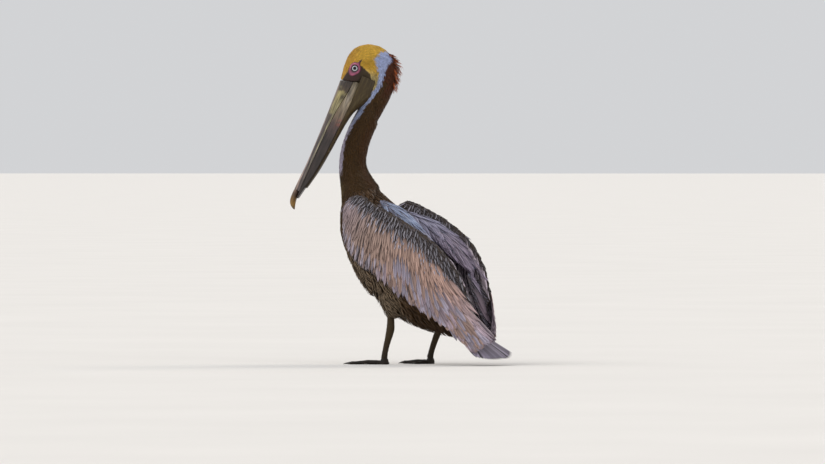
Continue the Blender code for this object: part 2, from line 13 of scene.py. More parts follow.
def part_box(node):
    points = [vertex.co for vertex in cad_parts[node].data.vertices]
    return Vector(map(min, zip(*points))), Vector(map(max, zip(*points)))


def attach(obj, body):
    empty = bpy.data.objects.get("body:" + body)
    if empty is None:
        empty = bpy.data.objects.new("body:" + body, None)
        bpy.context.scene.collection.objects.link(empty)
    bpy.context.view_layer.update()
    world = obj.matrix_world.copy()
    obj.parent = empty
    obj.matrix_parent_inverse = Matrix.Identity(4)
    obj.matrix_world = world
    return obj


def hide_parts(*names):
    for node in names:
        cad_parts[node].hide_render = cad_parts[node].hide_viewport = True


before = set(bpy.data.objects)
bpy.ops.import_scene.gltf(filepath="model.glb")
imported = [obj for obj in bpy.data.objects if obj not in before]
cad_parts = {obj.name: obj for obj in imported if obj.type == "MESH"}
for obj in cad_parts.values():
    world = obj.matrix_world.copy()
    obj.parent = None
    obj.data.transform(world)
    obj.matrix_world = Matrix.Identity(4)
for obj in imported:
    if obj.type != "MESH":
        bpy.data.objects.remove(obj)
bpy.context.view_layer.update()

bpy.ops.object.select_all(action="DESELECT")
bpy.context.scene.view_settings.view_transform = "Standard"


# ------------------------------------ Camera
# A long lens, level with the breast and far off on the bird's left, a little behind its shoulder.
UP = Vector((0, 0, 1))
FAR = 4000  # how far the camera sees, and how wide the floor is
VIEW_BEHIND = math.radians(35)  # how far behind the bird's left side the camera stands
CAMERA_AWAY, CAMERA_HEIGHT = 17.92, 0.4596
AIM_AWAY, AIM_ASIDE, AIM_HEIGHT = -0.08, 0.0092, 0.3156
towards_camera = Vector((math.cos(VIEW_BEHIND), math.sin(VIEW_BEHIND), 0))
across_view = Vector((-math.sin(VIEW_BEHIND), math.cos(VIEW_BEHIND), 0))

stand = across_view * AIM_ASIDE + towards_camera * CAMERA_AWAY + UP * CAMERA_HEIGHT
bpy.ops.object.camera_add(location=stand)
camera = bpy.context.object
camera.name = "camera"
aim = across_view * AIM_ASIDE + towards_camera * AIM_AWAY + UP * AIM_HEIGHT
camera.rotation_euler = (aim - camera.location).to_track_quat("-Z", "Y").to_euler()
camera.data.lens = 327
camera.data.sensor_width = 36
camera.data.clip_end = FAR
bpy.context.scene.camera = camera


# ------------------------------------ Light
# Soft studio light from very wide sources: the main one ahead of the bird and above it, a cool one from
# behind the camera, a warm one behind the bird that catches its edges, and an even pale surround.
WIDE_LIGHTS = (
    # name, angle round the bird from its left, height above the horizon, spread, strength, colour
    ("main light", -40, 48, 50, 1.5, (1.0, 0.97, 0.93)),
    ("cool light", 60, 30, 70, 0.55, (0.92, 0.95, 1.0)),
    ("edge light", 160, 35, 30, 1.1, (1.0, 0.90, 0.78)),
)
for name, angle, height, spread, strength, tint in WIDE_LIGHTS:
    bpy.ops.object.light_add(type="SUN", location=(0, 0, 3))
    light = bpy.context.object
    light.name = name
    light.rotation_euler = (0, math.radians(90 - height), math.radians(angle))
    light.data.angle = math.radians(spread)
    light.data.energy = strength
    light.data.color = tint

surround = bpy.data.worlds.new("pale surround")
surround.use_nodes = True
surround.node_tree.nodes["Background"].inputs["Color"].default_value = (0.86, 0.87, 0.89, 1)
surround.node_tree.nodes["Background"].inputs["Strength"].default_value = 0.75
bpy.context.scene.world = surround


# ------------------------------------ Floor
# A plain pale studio floor of painted board, wide enough to fill every view. It is not part of the bird.
def add_node(material, kind, inputs=None, **settings):
    """Adds a node to a material, sets its properties, and sets or links its inputs."""
    made = material.node_tree.nodes.new("ShaderNode" + kind)
    for key, value in settings.items():
        setattr(made, key, value)
    for key, value in (inputs or {}).items():
        if isinstance(value, bpy.types.NodeSocket):
            material.node_tree.links.new(value, made.inputs[key])
        else:
            made.inputs[key].default_value = value
    return made


def linear(hex_colour):
    """An sRGB hex colour as linear red, green, blue and alpha."""
    parts = [int(hex_colour[i : i + 2], 16) / 255 for i in (1, 3, 5)]
    return (*(c / 12.92 if c <= 0.04045 else ((c + 0.055) / 1.055) ** 2.4 for c in parts), 1.0)


def new_material(name):
    material = bpy.data.materials.new(name)
    material.use_nodes = True
    material.node_tree.nodes.clear()
    return material


def on_object(material):
    """Where a point lies on its object, in metres."""
    return add_node(material, "TexCoord").outputs["Object"]


def between(material, share, low, high):
    """A colour between two, by a share that a pattern gives."""
    ramp_node = add_node(material, "ValToRGB", {"Fac": share})
    ramp_node.color_ramp.elements[0].color = linear(low)
    ramp_node.color_ramp.elements[1].color = linear(high)
    return ramp_node.outputs["Color"]


def relief(material, height, strength, distance):
    """The bumps of a pattern, with the height of its highest ones."""
    inputs = {"Height": height, "Strength": strength, "Distance": distance}
    return add_node(material, "Bump", inputs).outputs["Normal"]


def finish_material(material, colour, roughness, normal=None, **others):
    """Gives a material its surface. The names of its other inputs have _ for a space."""
    inputs = {"Base Color": colour, "Roughness": roughness}
    inputs.update({key.replace("_", " "): value for key, value in others.items()})
    if normal is not None:
        inputs["Normal"] = normal
    shader = add_node(material, "BsdfPrincipled", inputs)
    add_node(material, "OutputMaterial", {"Surface": shader.outputs["BSDF"]})


# Painted board: matt and nearly white, with faint broad unevenness of the roller.
board = new_material("painted board")
cloud = add_node(board, "TexNoise", {"Vector": on_object(board), "Scale": 1.5, "Detail": 3})
finish_material(board, between(board, cloud.outputs["Fac"], "#CFCDCA", "#D9D7D4"), roughness=0.8)

bpy.ops.mesh.primitive_plane_add(size=FAR)
floor = bpy.context.object
floor.name = "floor"
floor.data.materials.append(board)


# ------------------------------------ Skin
# One closed skin under all the plumage, made from the solids of head, neck, trunk, thighs and wings fused
# together, and drawn in by the depth that the feathers have at each place.
COAT_DEPTH = {
    "head": 0.0016,
    "neck": 0.0045,
    "trunk": 0.0060,
    "thigh": 0.0035,
    "scapulars": 0.0050,
    "tertials": 0.0050,
    "wing": 0.0050,
}
SKIN_VOXEL = 0.0030
MOST_THINNED = 0.30  # share of a thin place that may be taken off each side
HAND_ENDS = 0.78  # share of the folded wing's length at which its flesh ends, and only feathers go on
TIP_DRAWN_BACK = 0.8  # share of what lies beyond that end by which the skin is drawn back
MILLIMETRE = 0.001

eye_places = {side: sum(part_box(f"eye_{side}"), Vector()) / 2 for side in ("left", "right")}
between_eyes = (eye_places["left"] + eye_places["right"]) / 2
head_left = (eye_places["left"] - eye_places["right"]).normalized()
head_back = UP.cross(head_left)


def from_eyes(points):
    """How far points lie to the left of the middle of the eyes, behind it and above it, in millimetres."""
    away = (points - np.array(between_eyes)) / MILLIMETRE
    return away @ np.array(head_left), away @ np.array(head_back), away[:, 2]


def above(values, level, softness):
    """0 below a level and 1 above it, with a soft change between."""
    t = np.clip((values - level) / softness + 0.5, 0, 1)
    return t * t * (3 - 2 * t)


def bare_face(points):
    """1 on the bare dark skin round the eyes and behind the gape, 0 where feathers grow."""
    _, back, up = from_eyes(points)
    brow = np.interp(
        back, (-44, -36, -17, -8, 0, 8, 16, 19, 28, 37), (-38, -30, -3, 10, 14, 13, 7, 3, -4, -12)
    )
    rear = np.interp(up, (-60, -46, -41, -28, -13, -4, 3), (44, 47, 46, 40, 37, 30, 24))
    return above(brow - up, 0, 1.5) * above(rear - back, 0, 1.5)


def link(name, mesh):
    """A new object for a mesh."""
    piece = bpy.data.objects.new(name, mesh)
    bpy.context.collection.objects.link(piece)
    return piece


def merged_copy(name, *nodes):
    """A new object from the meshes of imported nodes, with their loose triangles welded."""
    mesh = bpy.data.meshes.new(name)
    work = bmesh.new()
    for node_name in nodes:
        work.from_mesh(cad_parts[node_name].data)
    bmesh.ops.remove_doubles(work, verts=work.verts, dist=0.00002)
    work.to_mesh(mesh)
    work.free()
    mesh.materials.clear()
    return link(name, mesh)


def apply_modifier(piece, kind, **settings):
    """Adds a modifier to a piece and applies it."""
    bpy.ops.object.select_all(action="DESELECT")
    bpy.context.view_layer.objects.active = piece
    piece.select_set(True)
    modifier = piece.modifiers.new(kind.lower(), kind)
    for key, value in settings.items():
        setattr(modifier, key, value)
    bpy.ops.object.modifier_apply(modifier=modifier.name)


def points_of(mesh, value="co"):
    """The places of a mesh's vertices, or another value of theirs with three parts."""
    places = np.empty(len(mesh.vertices) * 3)
    mesh.vertices.foreach_get(value, places)
    return places.reshape(-1, 3)


def surface_of(*nodes):
    """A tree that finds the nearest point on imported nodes, or where a line meets them."""
    corners, faces = [], []
    for node_name in nodes:
        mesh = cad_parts[node_name].data
        faces += [[len(corners) + i for i in polygon.vertices] for polygon in mesh.polygons]
        corners += [vertex.co.copy() for vertex in mesh.vertices]
    return BVHTree.FromPolygons(corners, faces)


flesh = [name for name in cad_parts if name.startswith(tuple(COAT_DEPTH))]
flesh_surface = {kind: surface_of(*[n for n in flesh if n.startswith(kind)]) for kind in COAT_DEPTH}


def flesh_at(point):
    """Which part of the bird a place on the skin belongs to."""
    return min(COAT_DEPTH, key=lambda kind: flesh_surface[kind].find_nearest(point)[3])


def wing_line(side):
    """The line from the wrist to the tips of a folded wing in the side view: its start, way and length."""
    arm_low, arm_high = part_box(f"wing_{side}_arm")
    hand_low, hand_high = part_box(f"wing_{side}_hand")
    start = np.array([arm_low.y, arm_high.z])
    run = np.array([hand_high.y, hand_low.z]) - start
    return start, run / np.linalg.norm(run), np.linalg.norm(run)


skin = merged_copy("skin", *flesh)
apply_modifier(skin, "REMESH", mode="VOXEL", voxel_size=SKIN_VOXEL, use_smooth_shade=True)
apply_modifier(skin, "SMOOTH", factor=0.5, iterations=5)

outer_skin = BVHTree.FromObject(skin, bpy.context.evaluated_depsgraph_get())
skin_kind = [flesh_at(vertex.co) for vertex in skin.data.vertices]
feathered = 1 - bare_face(points_of(skin.data))
drawn_in = []
wing_lines = {side: wing_line(side) for side in eye_places}
for vertex, kind, grown in zip(skin.data.vertices, skin_kind, feathered):
    inwards = -vertex.normal
    far_side = outer_skin.ray_cast(vertex.co + inwards * 0.0002, inwards)[3]
    depth = min(COAT_DEPTH[kind] * grown, MOST_THINNED * (far_side or 1))
    place = vertex.co + inwards * depth
    if kind == "wing":
        start, along, length = wing_lines["left" if place.x > 0 else "right"]
        beyond = (place.y - start[0]) * along[0] + (place.z - start[1]) * along[1] - HAND_ENDS * length
        if beyond > 0:
            place -= Vector((0, *along)) * beyond * TIP_DRAWN_BACK
    drawn_in.append(place)
skin.data.vertices.foreach_set("co", np.array(drawn_in).ravel())
apply_modifier(skin, "SMOOTH", factor=0.5, iterations=1)
skin_surface = BVHTree.FromObject(skin, bpy.context.evaluated_depsgraph_get())


# ------------------------------------ Lie of the coat
# Feathers lie from the bill over the crown and down the neck, then back over the trunk to the tail. A line
# through the middle of the bird gives that direction, and unrolls the skin round itself.

# The middle of the skull from the bill to the nape: millimetres behind the eyes, and above them
SKULL_LINE = ((-6, -30), (0, 0), (14, 19), (36, 27), (57, 15), (66, -7), (64, -37))
WIDE_REACH, NEAR_REACH = 0.008, 0.003  # how far round a place the line's points count
HALF_SLICE = 0.14  # share of a solid's length to each side of where its middle is taken
LINE_STEPS, LINE_ROUNDS = 140, 6  # points of the line, and how often it is smoothed


def slices_of(node_name, shares):
    """Middles of slices across a long node, from its upper end down."""
    places = points_of(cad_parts[node_name].data)
    axis = np.linalg.svd(places - places.mean(0), full_matrices=False)[2][0]
    axis *= -np.sign(axis[2])
    along = (places - places.mean(0)) @ axis
    low, high = along.min(), along.max()
    near = HALF_SLICE * (high - low)
    return [places[abs(along - (low + (high - low) * share)) < near].mean(0) for share in shares]


def unit(vectors):
    return vectors / np.maximum(np.linalg.norm(vectors, axis=-1, keepdims=True), 1e-9)


middle_line = [np.array(between_eyes + (head_back * back + UP * up) * MILLIMETRE) for back, up in SKULL_LINE]
for node_name in ("neck_upper", "neck_middle", "neck_lower"):
    middle_line += slices_of(node_name, (0.25, 0.75))
middle_line += slices_of("trunk", (0.12, 0.31, 0.5, 0.69, 0.88))
middle_line.append(np.array(sum(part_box("tail"), Vector()) / 2))
middle_line = np.array(middle_line)
reach = np.concatenate([[0], np.cumsum(np.linalg.norm(np.diff(middle_line, axis=0), axis=1))])
steps_along = np.linspace(0, reach[-1], LINE_STEPS)
line_points = np.stack([np.interp(steps_along, reach, middle_line[:, k]) for k in range(3)], axis=1)
for repeat in range(LINE_ROUNDS):
    line_points[1:-1] = (line_points[:-2] + line_points[1:-1] * 2 + line_points[2:]) / 4
line_ways = unit(np.gradient(line_points, axis=0))


def nearness(points, reach=WIDE_REACH):
    """How much each point of the middle line counts at each given point."""
    away = np.linalg.norm(points[:, None, :] - line_points[None, :, :], axis=2)
    weight = np.exp(-(away - away.min(1)[:, None]) / reach)
    return weight / weight.sum(1)[:, None]


def lie(points):
    """The way that feathers point at each place."""
    return unit(nearness(points) @ line_ways)


def unrolled(points):
    """Places on the skin as it unrolls round the middle line: shares of the way along it and round it."""
    weight = nearness(points, NEAR_REACH)
    along = weight @ steps_along / steps_along[-1]
    away = points - weight @ line_points
    ways = unit(weight @ line_ways)
    left = unit(np.array([1.0, 0, 0]) - ways * ways[:, :1])
    back = np.cross(ways, left)
    angle = np.arctan2((away * left).sum(1), (away * back).sum(1))
    return np.stack([along, 0.5 + angle / (2 * math.pi)], axis=1)


# ------------------------------------ Markings
# A grown bird in its winter dress: ochre crown and cheeks, a pale blue-grey patch behind them that runs down
# the side of the throat as a stripe, a dark chestnut neck and crest, and a brown belly with pale-streaked
# flanks. The tables of edges are in millimetres from the eyes, or in degrees round the neck from its front.
BILL_TOP_BACK, BILL_TOP_UP = -42.0, -29.0  # the top of the bill's base
BILL_DOWN = math.radians(67.3)  # how far the bill points below level
THROAT = -49  # where the head's markings pass into those of the neck
NECK_FOOT = -288  # where a pale patch lies on the front of the neck


def shade(hex_colour):
    return np.array(linear(hex_colour)[:3])


def evenly(hex_colour):
    """A colouring that gives each place the same colour."""
    return lambda points: np.tile(shade(hex_colour), (len(points), 1))


def blend(first, second, amount):
    """Colours between two, by an amount from 0 to 1 at each place."""
    return first + (second - first) * np.clip(amount, 0, 1)[:, None]


def on_bill(points):
    """How far points lie along the bill, across it towards the pouch, and to its left, in millimetres."""
    out, back, up = from_eyes(points)
    back, up = back - BILL_TOP_BACK, up - BILL_TOP_UP
    along = -back * math.cos(BILL_DOWN) - up * math.sin(BILL_DOWN)
    across = back * math.sin(BILL_DOWN) - up * math.cos(BILL_DOWN)
    return along, across, out


def lip_at(along):
    """How far across the bill the mouth line runs. Behind the bill it goes on as a crease in the face."""
    return np.interp(along, (-24, -12, 0, 33, 60, 133, 188, 282), (47, 42, 35.5, 28, 23.5, 17.5, 15.5, 12.5))


def face_colour(points):
    """Bare face: dark brown, purplish before the eye and olive behind it, with the crease of the mouth drawn
    as a dark line of painted shade.
    """
    _, back, up = from_eyes(points)
    along, across, _ = on_bill(points)
    colour = blend(shade("#34221D"), shade("#342814"), above(back - up * 0.3, 16, 16))
    horny = above(along, -17, 4) * above(across - lip_at(along), 3, 2) * above(54 - across, 0, 4)
    colour = blend(colour, shade("#857A62"), horny * 0.85)
    # The crease of the mouth is a dark line of painted shade
    crease = np.exp(-(((across - lip_at(along)) / 1.3) ** 2)) * above(along, -25, 3)
    return blend(colour, shade("#17110D"), crease)


def round_neck(points):
    """Degrees round the neck from the middle of its front, 180 at the nape."""
    up = from_eyes(points)[2]
    heights = line_points[::-1, 2]
    middle = np.stack([np.interp(points[:, 2], heights, line_points[::-1, k]) for k in (0, 1)], axis=1)
    turned = np.clip((up + 90) / 80, 0, 1)[:, None]
    behind = unit(np.array([0.0, 1.0]) * (1 - turned) + np.array(head_back)[:2] * turned)
    away = points[:, :2] - middle
    front = -(away * behind).sum(1)
    aside = abs(away[:, 0] * behind[:, 1] - away[:, 1] * behind[:, 0])
    return np.degrees(np.arctan2(aside, front))


def dressed_head(points):
    """The feathers of head and neck."""
    _, back, up = from_eyes(points)
    angle = round_neck(points)
    colour = blend(shade("#CDA43C"), shade("#B98D33"), above(-back, -4, 30))
    colour = blend(colour, shade("#B9A56E"), above(-up, 8, 22) * above(back, 15, 10))
    dark = blend(shade("#412A05"), shade("#472904"), above(angle, 150, 40))
    dark = blend(dark, shade("#4E2508"), above(up, -60, 40) * above(angle, 130, 30))

    pale_edge = np.interp(up, (-47, -44, -30, -10, 5, 24, 42, 46), (48, 49, 55, 58, 51, 44, 60, 75))
    nape_edge = np.interp(up, (-49, -34, -13, 13, 31, 36), (59, 64, 71, 79, 92, 120))
    colour = blend(colour, shade("#A2ADD2"), above(back - pale_edge, 0, 5))
    colour = blend(colour, dark, above(back - nape_edge, 0, 3))

    rear = np.interp(
        up, (-242, -221, -199, -144, -126, -104, -82, -71, -49), (50, 60, 67, 68, 71, 82, 84, 93, 102)
    )
    fore = np.interp(up, (-242, -155, -137, -115, -104, -60, -49), (28, 30, 33, 39, 44, 50, 72))
    stripe = above(angle - fore, 0, 7) * above(up, -246, 16) * (1 - above(angle - rear, 0, 7))
    low_colour = blend(dark, blend(shade("#A3AFD2"), shade("#C2B8CC"), above(-up, 130, 60)), stripe)
    colour = blend(low_colour, colour, above(up, THROAT, 6))
    base_patch = above(55 - angle, 0, 40) * np.exp(-(((up - NECK_FOOT) / 15) ** 2))
    return blend(colour, shade("#8A7748"), base_patch * 0.55)


def head_colour(points):
    return blend(dressed_head(points), face_colour(points), bare_face(points))


def body_colour(points):
    """Brown below and silver-grey on the back."""
    ways = lie(points)
    away = unit(points - nearness(points, NEAR_REACH) @ line_points)
    back_side = np.cross(unit(np.array([1.0, 0, 0]) - ways * ways[:, :1]), ways)
    topward = (away * back_side).sum(1)
    silver = above(topward, 0.35, 0.3) * above(-points[:, 2], -0.385, 0.02)
    return blend(shade("#40290B"), shade("#77727C"), silver)


COLOUR_OF = {
    "head": head_colour,
    "neck": dressed_head,
    "trunk": body_colour,
    "thigh": evenly("#36260C"),
    "scapulars": evenly("#6F7388"),
    # The skin of the wings and tertials is painted dark: painted shade that shows in the gaps between their
    # feathers
    "tertials": evenly("#4A4244"),
    "wing": evenly("#3F352D"),
}


def paint(mesh, colours):
    """Puts a colour on each vertex, which the materials read as Plumage."""
    layer = mesh.color_attributes.new("Plumage", "FLOAT_COLOR", "POINT")
    colours = np.clip(colours, 0, 1)
    layer.data.foreach_set("color", np.concatenate([colours, np.ones((len(colours), 1))], axis=1).ravel())


def painted(material, tone=None):
    """The colour on the vertices, made lighter or darker by a pattern."""
    colour = add_node(material, "Attribute", attribute_name="Plumage").outputs["Color"]
    if tone is None:
        return colour
    return add_node(material, "VectorMath", {0: colour, "Scale": tone}, operation="SCALE").outputs[0]


def finish_piece(piece, material, slot, *nodes):
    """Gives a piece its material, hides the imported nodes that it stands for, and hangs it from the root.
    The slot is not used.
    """
    piece.data.materials.append(material)
    if nodes:
        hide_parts(*nodes)
    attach(piece, "root")


kinds = np.array(skin_kind)
skin_colours = np.zeros((len(kinds), 3))
for kind, colour_of in COLOUR_OF.items():
    skin_colours[kinds == kind] = colour_of(points_of(skin.data)[kinds == kind])
paint(skin.data, skin_colours)

# Bird skin: thin, dull and finely wrinkled, stained with the colour of what grows from it. On the wings and
# tertials it is painted darker than their feathers, as painted shade in the gaps between them.
bird_skin = new_material("bird skin")
wrinkles = add_node(bird_skin, "TexVoronoi", {"Vector": on_object(bird_skin), "Scale": 420})
wrinkled = relief(bird_skin, wrinkles.outputs["Distance"], strength=0.5, distance=0.0008)
finish_material(bird_skin, painted(bird_skin), roughness=0.62, normal=wrinkled, Specular_IOR_Level=0.3)
finish_piece(skin, bird_skin, "body_feathers", *flesh)


# ------------------------------------ Small feathers of head and neck
# Short dense feathers, almost fur, of keratin. Each is a thin closed vane with a raised shaft, rooted in
# the skin and laid along it so that its tip covers the roots of the next ones.
CROWD = 5  # how many times more roots are tried than there is room for
SUNK = 0.0003  # how deep a feather's root lies in the skin
BAKED_PATCH = 0.003  # size of a feather's own patch on the unrolled skin
BAKED_EDGE = 0.02  # the unrolled skin keeps this far from the edge of its map
SHARPEST_BEND = 0.72  # cosine of the bend between two steps of a shaft, beyond which a feather is left out

# Sections across a feather, from its left edge over the shaft to its right edge and back underneath:
# how far out, in half widths, and how high
RIDGED = ((-1, 0), (0, 0.24), (1, 0))
VAULTED = ((-1, -0.16), (-0.5, -0.01), (0, 0.10), (0.5, -0.01), (1, -0.16), (0, -0.05))

# A form of feather is its width at equal steps from the root to the tip, in half widths, and its section
FINE_FORM = (0.55, 1.0, 0.8, 0.0), RIDGED
CREST_FORM = (0.9, 1.0, 0.9, 0.7, 0.4, 0.0), RIDGED

dice = np.random.default_rng(11)
skin.data.calc_loop_triangles()
skin_corners = points_of(skin.data)
skin_normals = points_of(skin.data, "normal")
skin_triangles = np.array([triangle.vertices for triangle in skin.data.loop_triangles])
triangle_kinds = kinds[skin_triangles[:, 0]]


def scatter(wanted, spacing):
    """Roots spread evenly over the skin of some parts of the bird, no nearer together than the spacing."""
    chosen = skin_triangles[np.isin(triangle_kinds, wanted)]
    a, b, c = (skin_corners[chosen[:, k]] for k in range(3))
    areas = np.linalg.norm(np.cross(b - a, c - a), axis=1) / 2
    count = int(areas.sum() / spacing**2 * CROWD)
    picked = dice.choice(len(chosen), count, p=areas / areas.sum())
    s, t = np.sqrt(dice.random(count)), dice.random(count)
    shares = np.stack([1 - s, s * (1 - t), s * t], axis=1)
    corners = chosen[picked]
    places = (skin_corners[corners] * shares[:, :, None]).sum(1)
    ups = unit((skin_normals[corners] * shares[:, :, None]).sum(1))
    tree = kdtree.KDTree(count)
    for i, place in enumerate(places):
        tree.insert(place, i)
    tree.balance()
    free = np.ones(count, bool)
    for i in range(count):
        if free[i]:
            for _, other, _ in tree.find_range(places[i], spacing):
                if other != i:
                    free[other] = False
    return places[free], ups[free]


def varied(size, spread, roots):
    """A size for each feather, a little different each time."""
    return size * (1 + dice.normal(0, spread, len(roots)))


def lay(places, ups, lengths, heights, steps, stray, way):
    """Shafts laid over the skin with the lie of the coat, and the way up at each of their points."""
    turns = dice.normal(0, stray, len(places))[:, None]
    shafts, shaft_ups = [], []
    for k in range(steps + 1):
        shafts.append(places + ups * (np.broadcast_to(heights, len(places)) * (k / steps) - SUNK)[:, None])
        shaft_ups.append(ups)
        ways = way(places)
        ways = unit(ways - ups * (ways * ups).sum(1)[:, None])
        ways = ways * np.cos(turns) + np.cross(ups, ways) * np.sin(turns)
        ahead = places + ways * (lengths / steps)[:, None]
        found = [skin_surface.find_nearest(Vector(point)) for point in ahead]
        places = np.array([hit[0] for hit in found])
        ups = unit(ups * 0.5 + np.array([hit[1] for hit in found]) * 0.5)
    return np.stack(shafts, axis=1), np.stack(shaft_ups, axis=1)


# Feather: keratin barbs hooked into a soft vane. It is matt with a slight sheen, and its barbs run out and
# forward from the shaft. They are a fifth of a millimetre apart, and are drawn three times as coarse.
feather = new_material("feather vane")
vane_map = add_node(feather, "UVMap", uv_map="Vane")
apart = add_node(feather, "SeparateXYZ", {"Vector": vane_map.outputs["UV"]})
barbs = apart.outputs["X"]
for operation, inputs in (
    ("SUBTRACT", {1: 0.5}),
    ("ABSOLUTE", {}),
    ("MULTIPLY_ADD", {1: -0.5, 2: apart.outputs["Y"]}),
    ("MULTIPLY", {1: 260.0}),
    ("SINE", {}),
):
    barbs = add_node(feather, "Math", {0: barbs, **inputs}, operation=operation).outputs[0]
tone = add_node(feather, "Math", {0: barbs, 1: 0.07, 2: 1.0}, operation="MULTIPLY_ADD").outputs[0]
finish_material(
    feather, painted(feather, tone), roughness=0.58,
    normal=relief(feather, barbs, strength=0.25, distance=0.0002),
    IOR=1.55, Specular_IOR_Level=0.22, Sheen_Weight=0.03, Sheen_Roughness=0.5,
)


def vanes(name, slot, shafts, ups, half_widths, form, colours, spots):
    """Feathers as one mesh: each a vane of this form along its shaft, closed at both ends. Colours are given
    for each section point of each station, and the spots are on the unrolled skin."""
    bends = unit(np.diff(shafts, axis=1))
    straight = (bends[:, 1:] * bends[:, :-1]).sum(2).min(1) > SHARPEST_BEND
    shafts, ups, half_widths, colours, spots = (
        values[straight] for values in (shafts, ups, half_widths, colours, spots)
    )
    count, stations = shafts.shape[:2]
    outline, section = (np.array(part) for part in form)
    points = len(section)
    along = unit(np.gradient(shafts, axis=1))
    sides = unit(np.cross(along, ups))
    lifts = np.cross(sides, along)
    wide = half_widths[:, None] * outline[None, :]
    body = (
        shafts[:, :-1, None, :]
        + sides[:, :-1, None, :] * (wide[:, :-1, None] * section[:, 0])[..., None]
        + lifts[:, :-1, None, :] * (half_widths[:, None, None] * section[:, 1])[..., None]
    ).reshape(count, -1, 3)
    corners = np.concatenate([body, shafts[:, -1:, :]], axis=1)
    faces = [(0, j + 1, j) for j in range(1, points - 1)]
    for k in range(stations - 2):
        for j in range(points):
            a, b = k * points + j, k * points + (j + 1) % points
            faces += [(a, b, b + points), (a, b + points, a + points)]
    last = (stations - 2) * points
    faces += [(last + j, last + (j + 1) % points, last + points) for j in range(points)]
    faces = np.array(faces)
    each = corners.shape[1]
    all_faces = (faces[None] + (np.arange(count) * each)[:, None, None]).reshape(-1, 3)
    mesh = bpy.data.meshes.new(name)
    mesh.from_pydata(corners.reshape(-1, 3), [], all_faces)
    mesh.shade_smooth()
    tip_colour = colours[:, -1, points // 2][:, None, :]
    paint(mesh, np.concatenate([colours[:, :-1].reshape(count, -1, 3), tip_colour], axis=1).reshape(-1, 3))
    across = np.concatenate([np.tile(section[:, 0], stations - 1), [0]])
    down = np.concatenate([np.repeat(np.linspace(0, 1, stations)[:-1], points), [1]])
    own = np.stack([0.5 + across / 2, down], axis=1)
    spots = (spots - spots.min(0)) / np.maximum(np.ptp(spots, axis=0), 1e-6)
    spots = BAKED_EDGE + (1 - 2 * BAKED_EDGE) * spots
    for map_name, places in (
        ("Vane", np.broadcast_to(own, (count, each, 2))),
        ("OFBake", spots[:, None, :] + (own - 0.5)[None] * BAKED_PATCH),
    ):
        layer = mesh.uv_layers.new(name=map_name)
        layer.data.foreach_set("uv", places.reshape(-1, 2)[all_faces.ravel()].ravel())
    finish_piece(link(name, mesh), feather, slot)


def feather_colours(base, form, edge=1.0, root=0.75, tip=1.1, shaft=1.0, spread=0.10):
    """Colours of plain feathers: darker at the root as painted shade where the feathers above cover them, and
    with their own edge, tip and shaft tones.
    """
    own = base * (1 + dice.normal(0, spread, (len(base), 1)))
    # Darker towards the root: painted shade where the feathers above overlap them
    along = np.interp(np.linspace(0, 1, len(form[0])), (0, 0.45, 1), (root, 1, tip))
    across = np.interp([abs(out) for out, _ in form[1]], (0, 0.5, 1), (shaft, 1, edge))
    return np.clip(own[:, None, None, :] * along[None, :, None, None] * across[None, None, :, None], 0, 1)


def coat(name, slot, roots, form, tone, lengths, slim, heights, stray,
         way=lie, spots=None, kept=None, flecks=None, **looks):
    """A piece of feathers laid over the skin from their roots. Slim is half their width as a share of their
    length, and heights are those of their tips. Kept chooses among the shafts, and flecks alters colours."""
    places, ups = roots
    shafts, shaft_ups = lay(places, ups, lengths, heights, len(form[0]) - 1, stray, way)
    spots = unrolled(places) if spots is None else spots
    if kept is not None:
        chosen = kept(lengths, shafts, shaft_ups)
        places, lengths, spots, shafts, shaft_ups = (
            values[chosen] for values in (places, lengths, spots, shafts, shaft_ups)
        )
    colours = feather_colours(tone(places), form, **looks)
    if flecks is not None:
        colours = flecks(places, colours)
    vanes(name, slot, shafts, shaft_ups, lengths * slim, form, colours, spots)


def either(first, second):
    """A colouring that gives each feather its own shade between two."""
    return lambda places: blend(shade(first), shade(second), dice.random(len(places)))


def ragged_head(places):
    """The markings of head and neck, with their edges no sharper than feathers can draw them."""
    return dressed_head(places + dice.normal(0, 0.0014, places.shape))


EYE_ROOM = 0.013  # no feather grows this near the middle of an eye

places, ups = scatter(["head"], 0.0021)
feathered = bare_face(places) < 0.35
for place in eye_places.values():
    feathered &= np.linalg.norm(places - np.array(place), axis=1) > EYE_ROOM
places, ups = places[feathered], ups[feathered]
back = from_eyes(places)[1]
lengths = varied(np.interp(back, (-40, 0, 60, 90), (0.0038, 0.0055, 0.0075, 0.0085)), 0.1, places)
coat(
    "head_feathers", "head_feathers", (places, ups), FINE_FORM, ragged_head, lengths, slim=0.17,
    heights=COAT_DEPTH["head"], stray=0.16, root=0.8, tip=1.12, spread=0.13,
)

# The crest: a thin row of loose, pointed feathers down the nape, dark at the root as painted shade and rusty
# at the tip, brightened there as a painted glow of light shining through them from behind
places, ups = scatter(["head", "neck"], 0.0037)
out, back, up = from_eyes(places)
nape = (abs(out) < 15 - 0.12 * abs(up)) & (back > 62) & (up > -46) & (up < 38)
places, ups, up = places[nape], ups[nape], up[nape]
lengths = varied(np.interp(up, (-46, -30, 10, 38), (0.012, 0.016, 0.016, 0.015)), 0.15, places)
lifts = np.interp(up, (-46, -20, 20, 38), (0.013, 0.017, 0.016, 0.010)) * dice.uniform(0.5, 1.1, len(places))
coat(
    "crest_feathers", "head_feathers", (places, ups), CREST_FORM, either("#59270F", "#8C4519"), lengths,
    slim=0.17, heights=lifts, stray=0.25, root=0.25, tip=1.7,
)

roots = scatter(["neck"], 0.0029)
coat(
    "neck_feathers", "neck_feathers", roots, FINE_FORM, ragged_head, varied(0.0100, 0.1, roots[0]), slim=0.15,
    heights=0.0028, stray=0.12, root=0.7, tip=1.15,
)


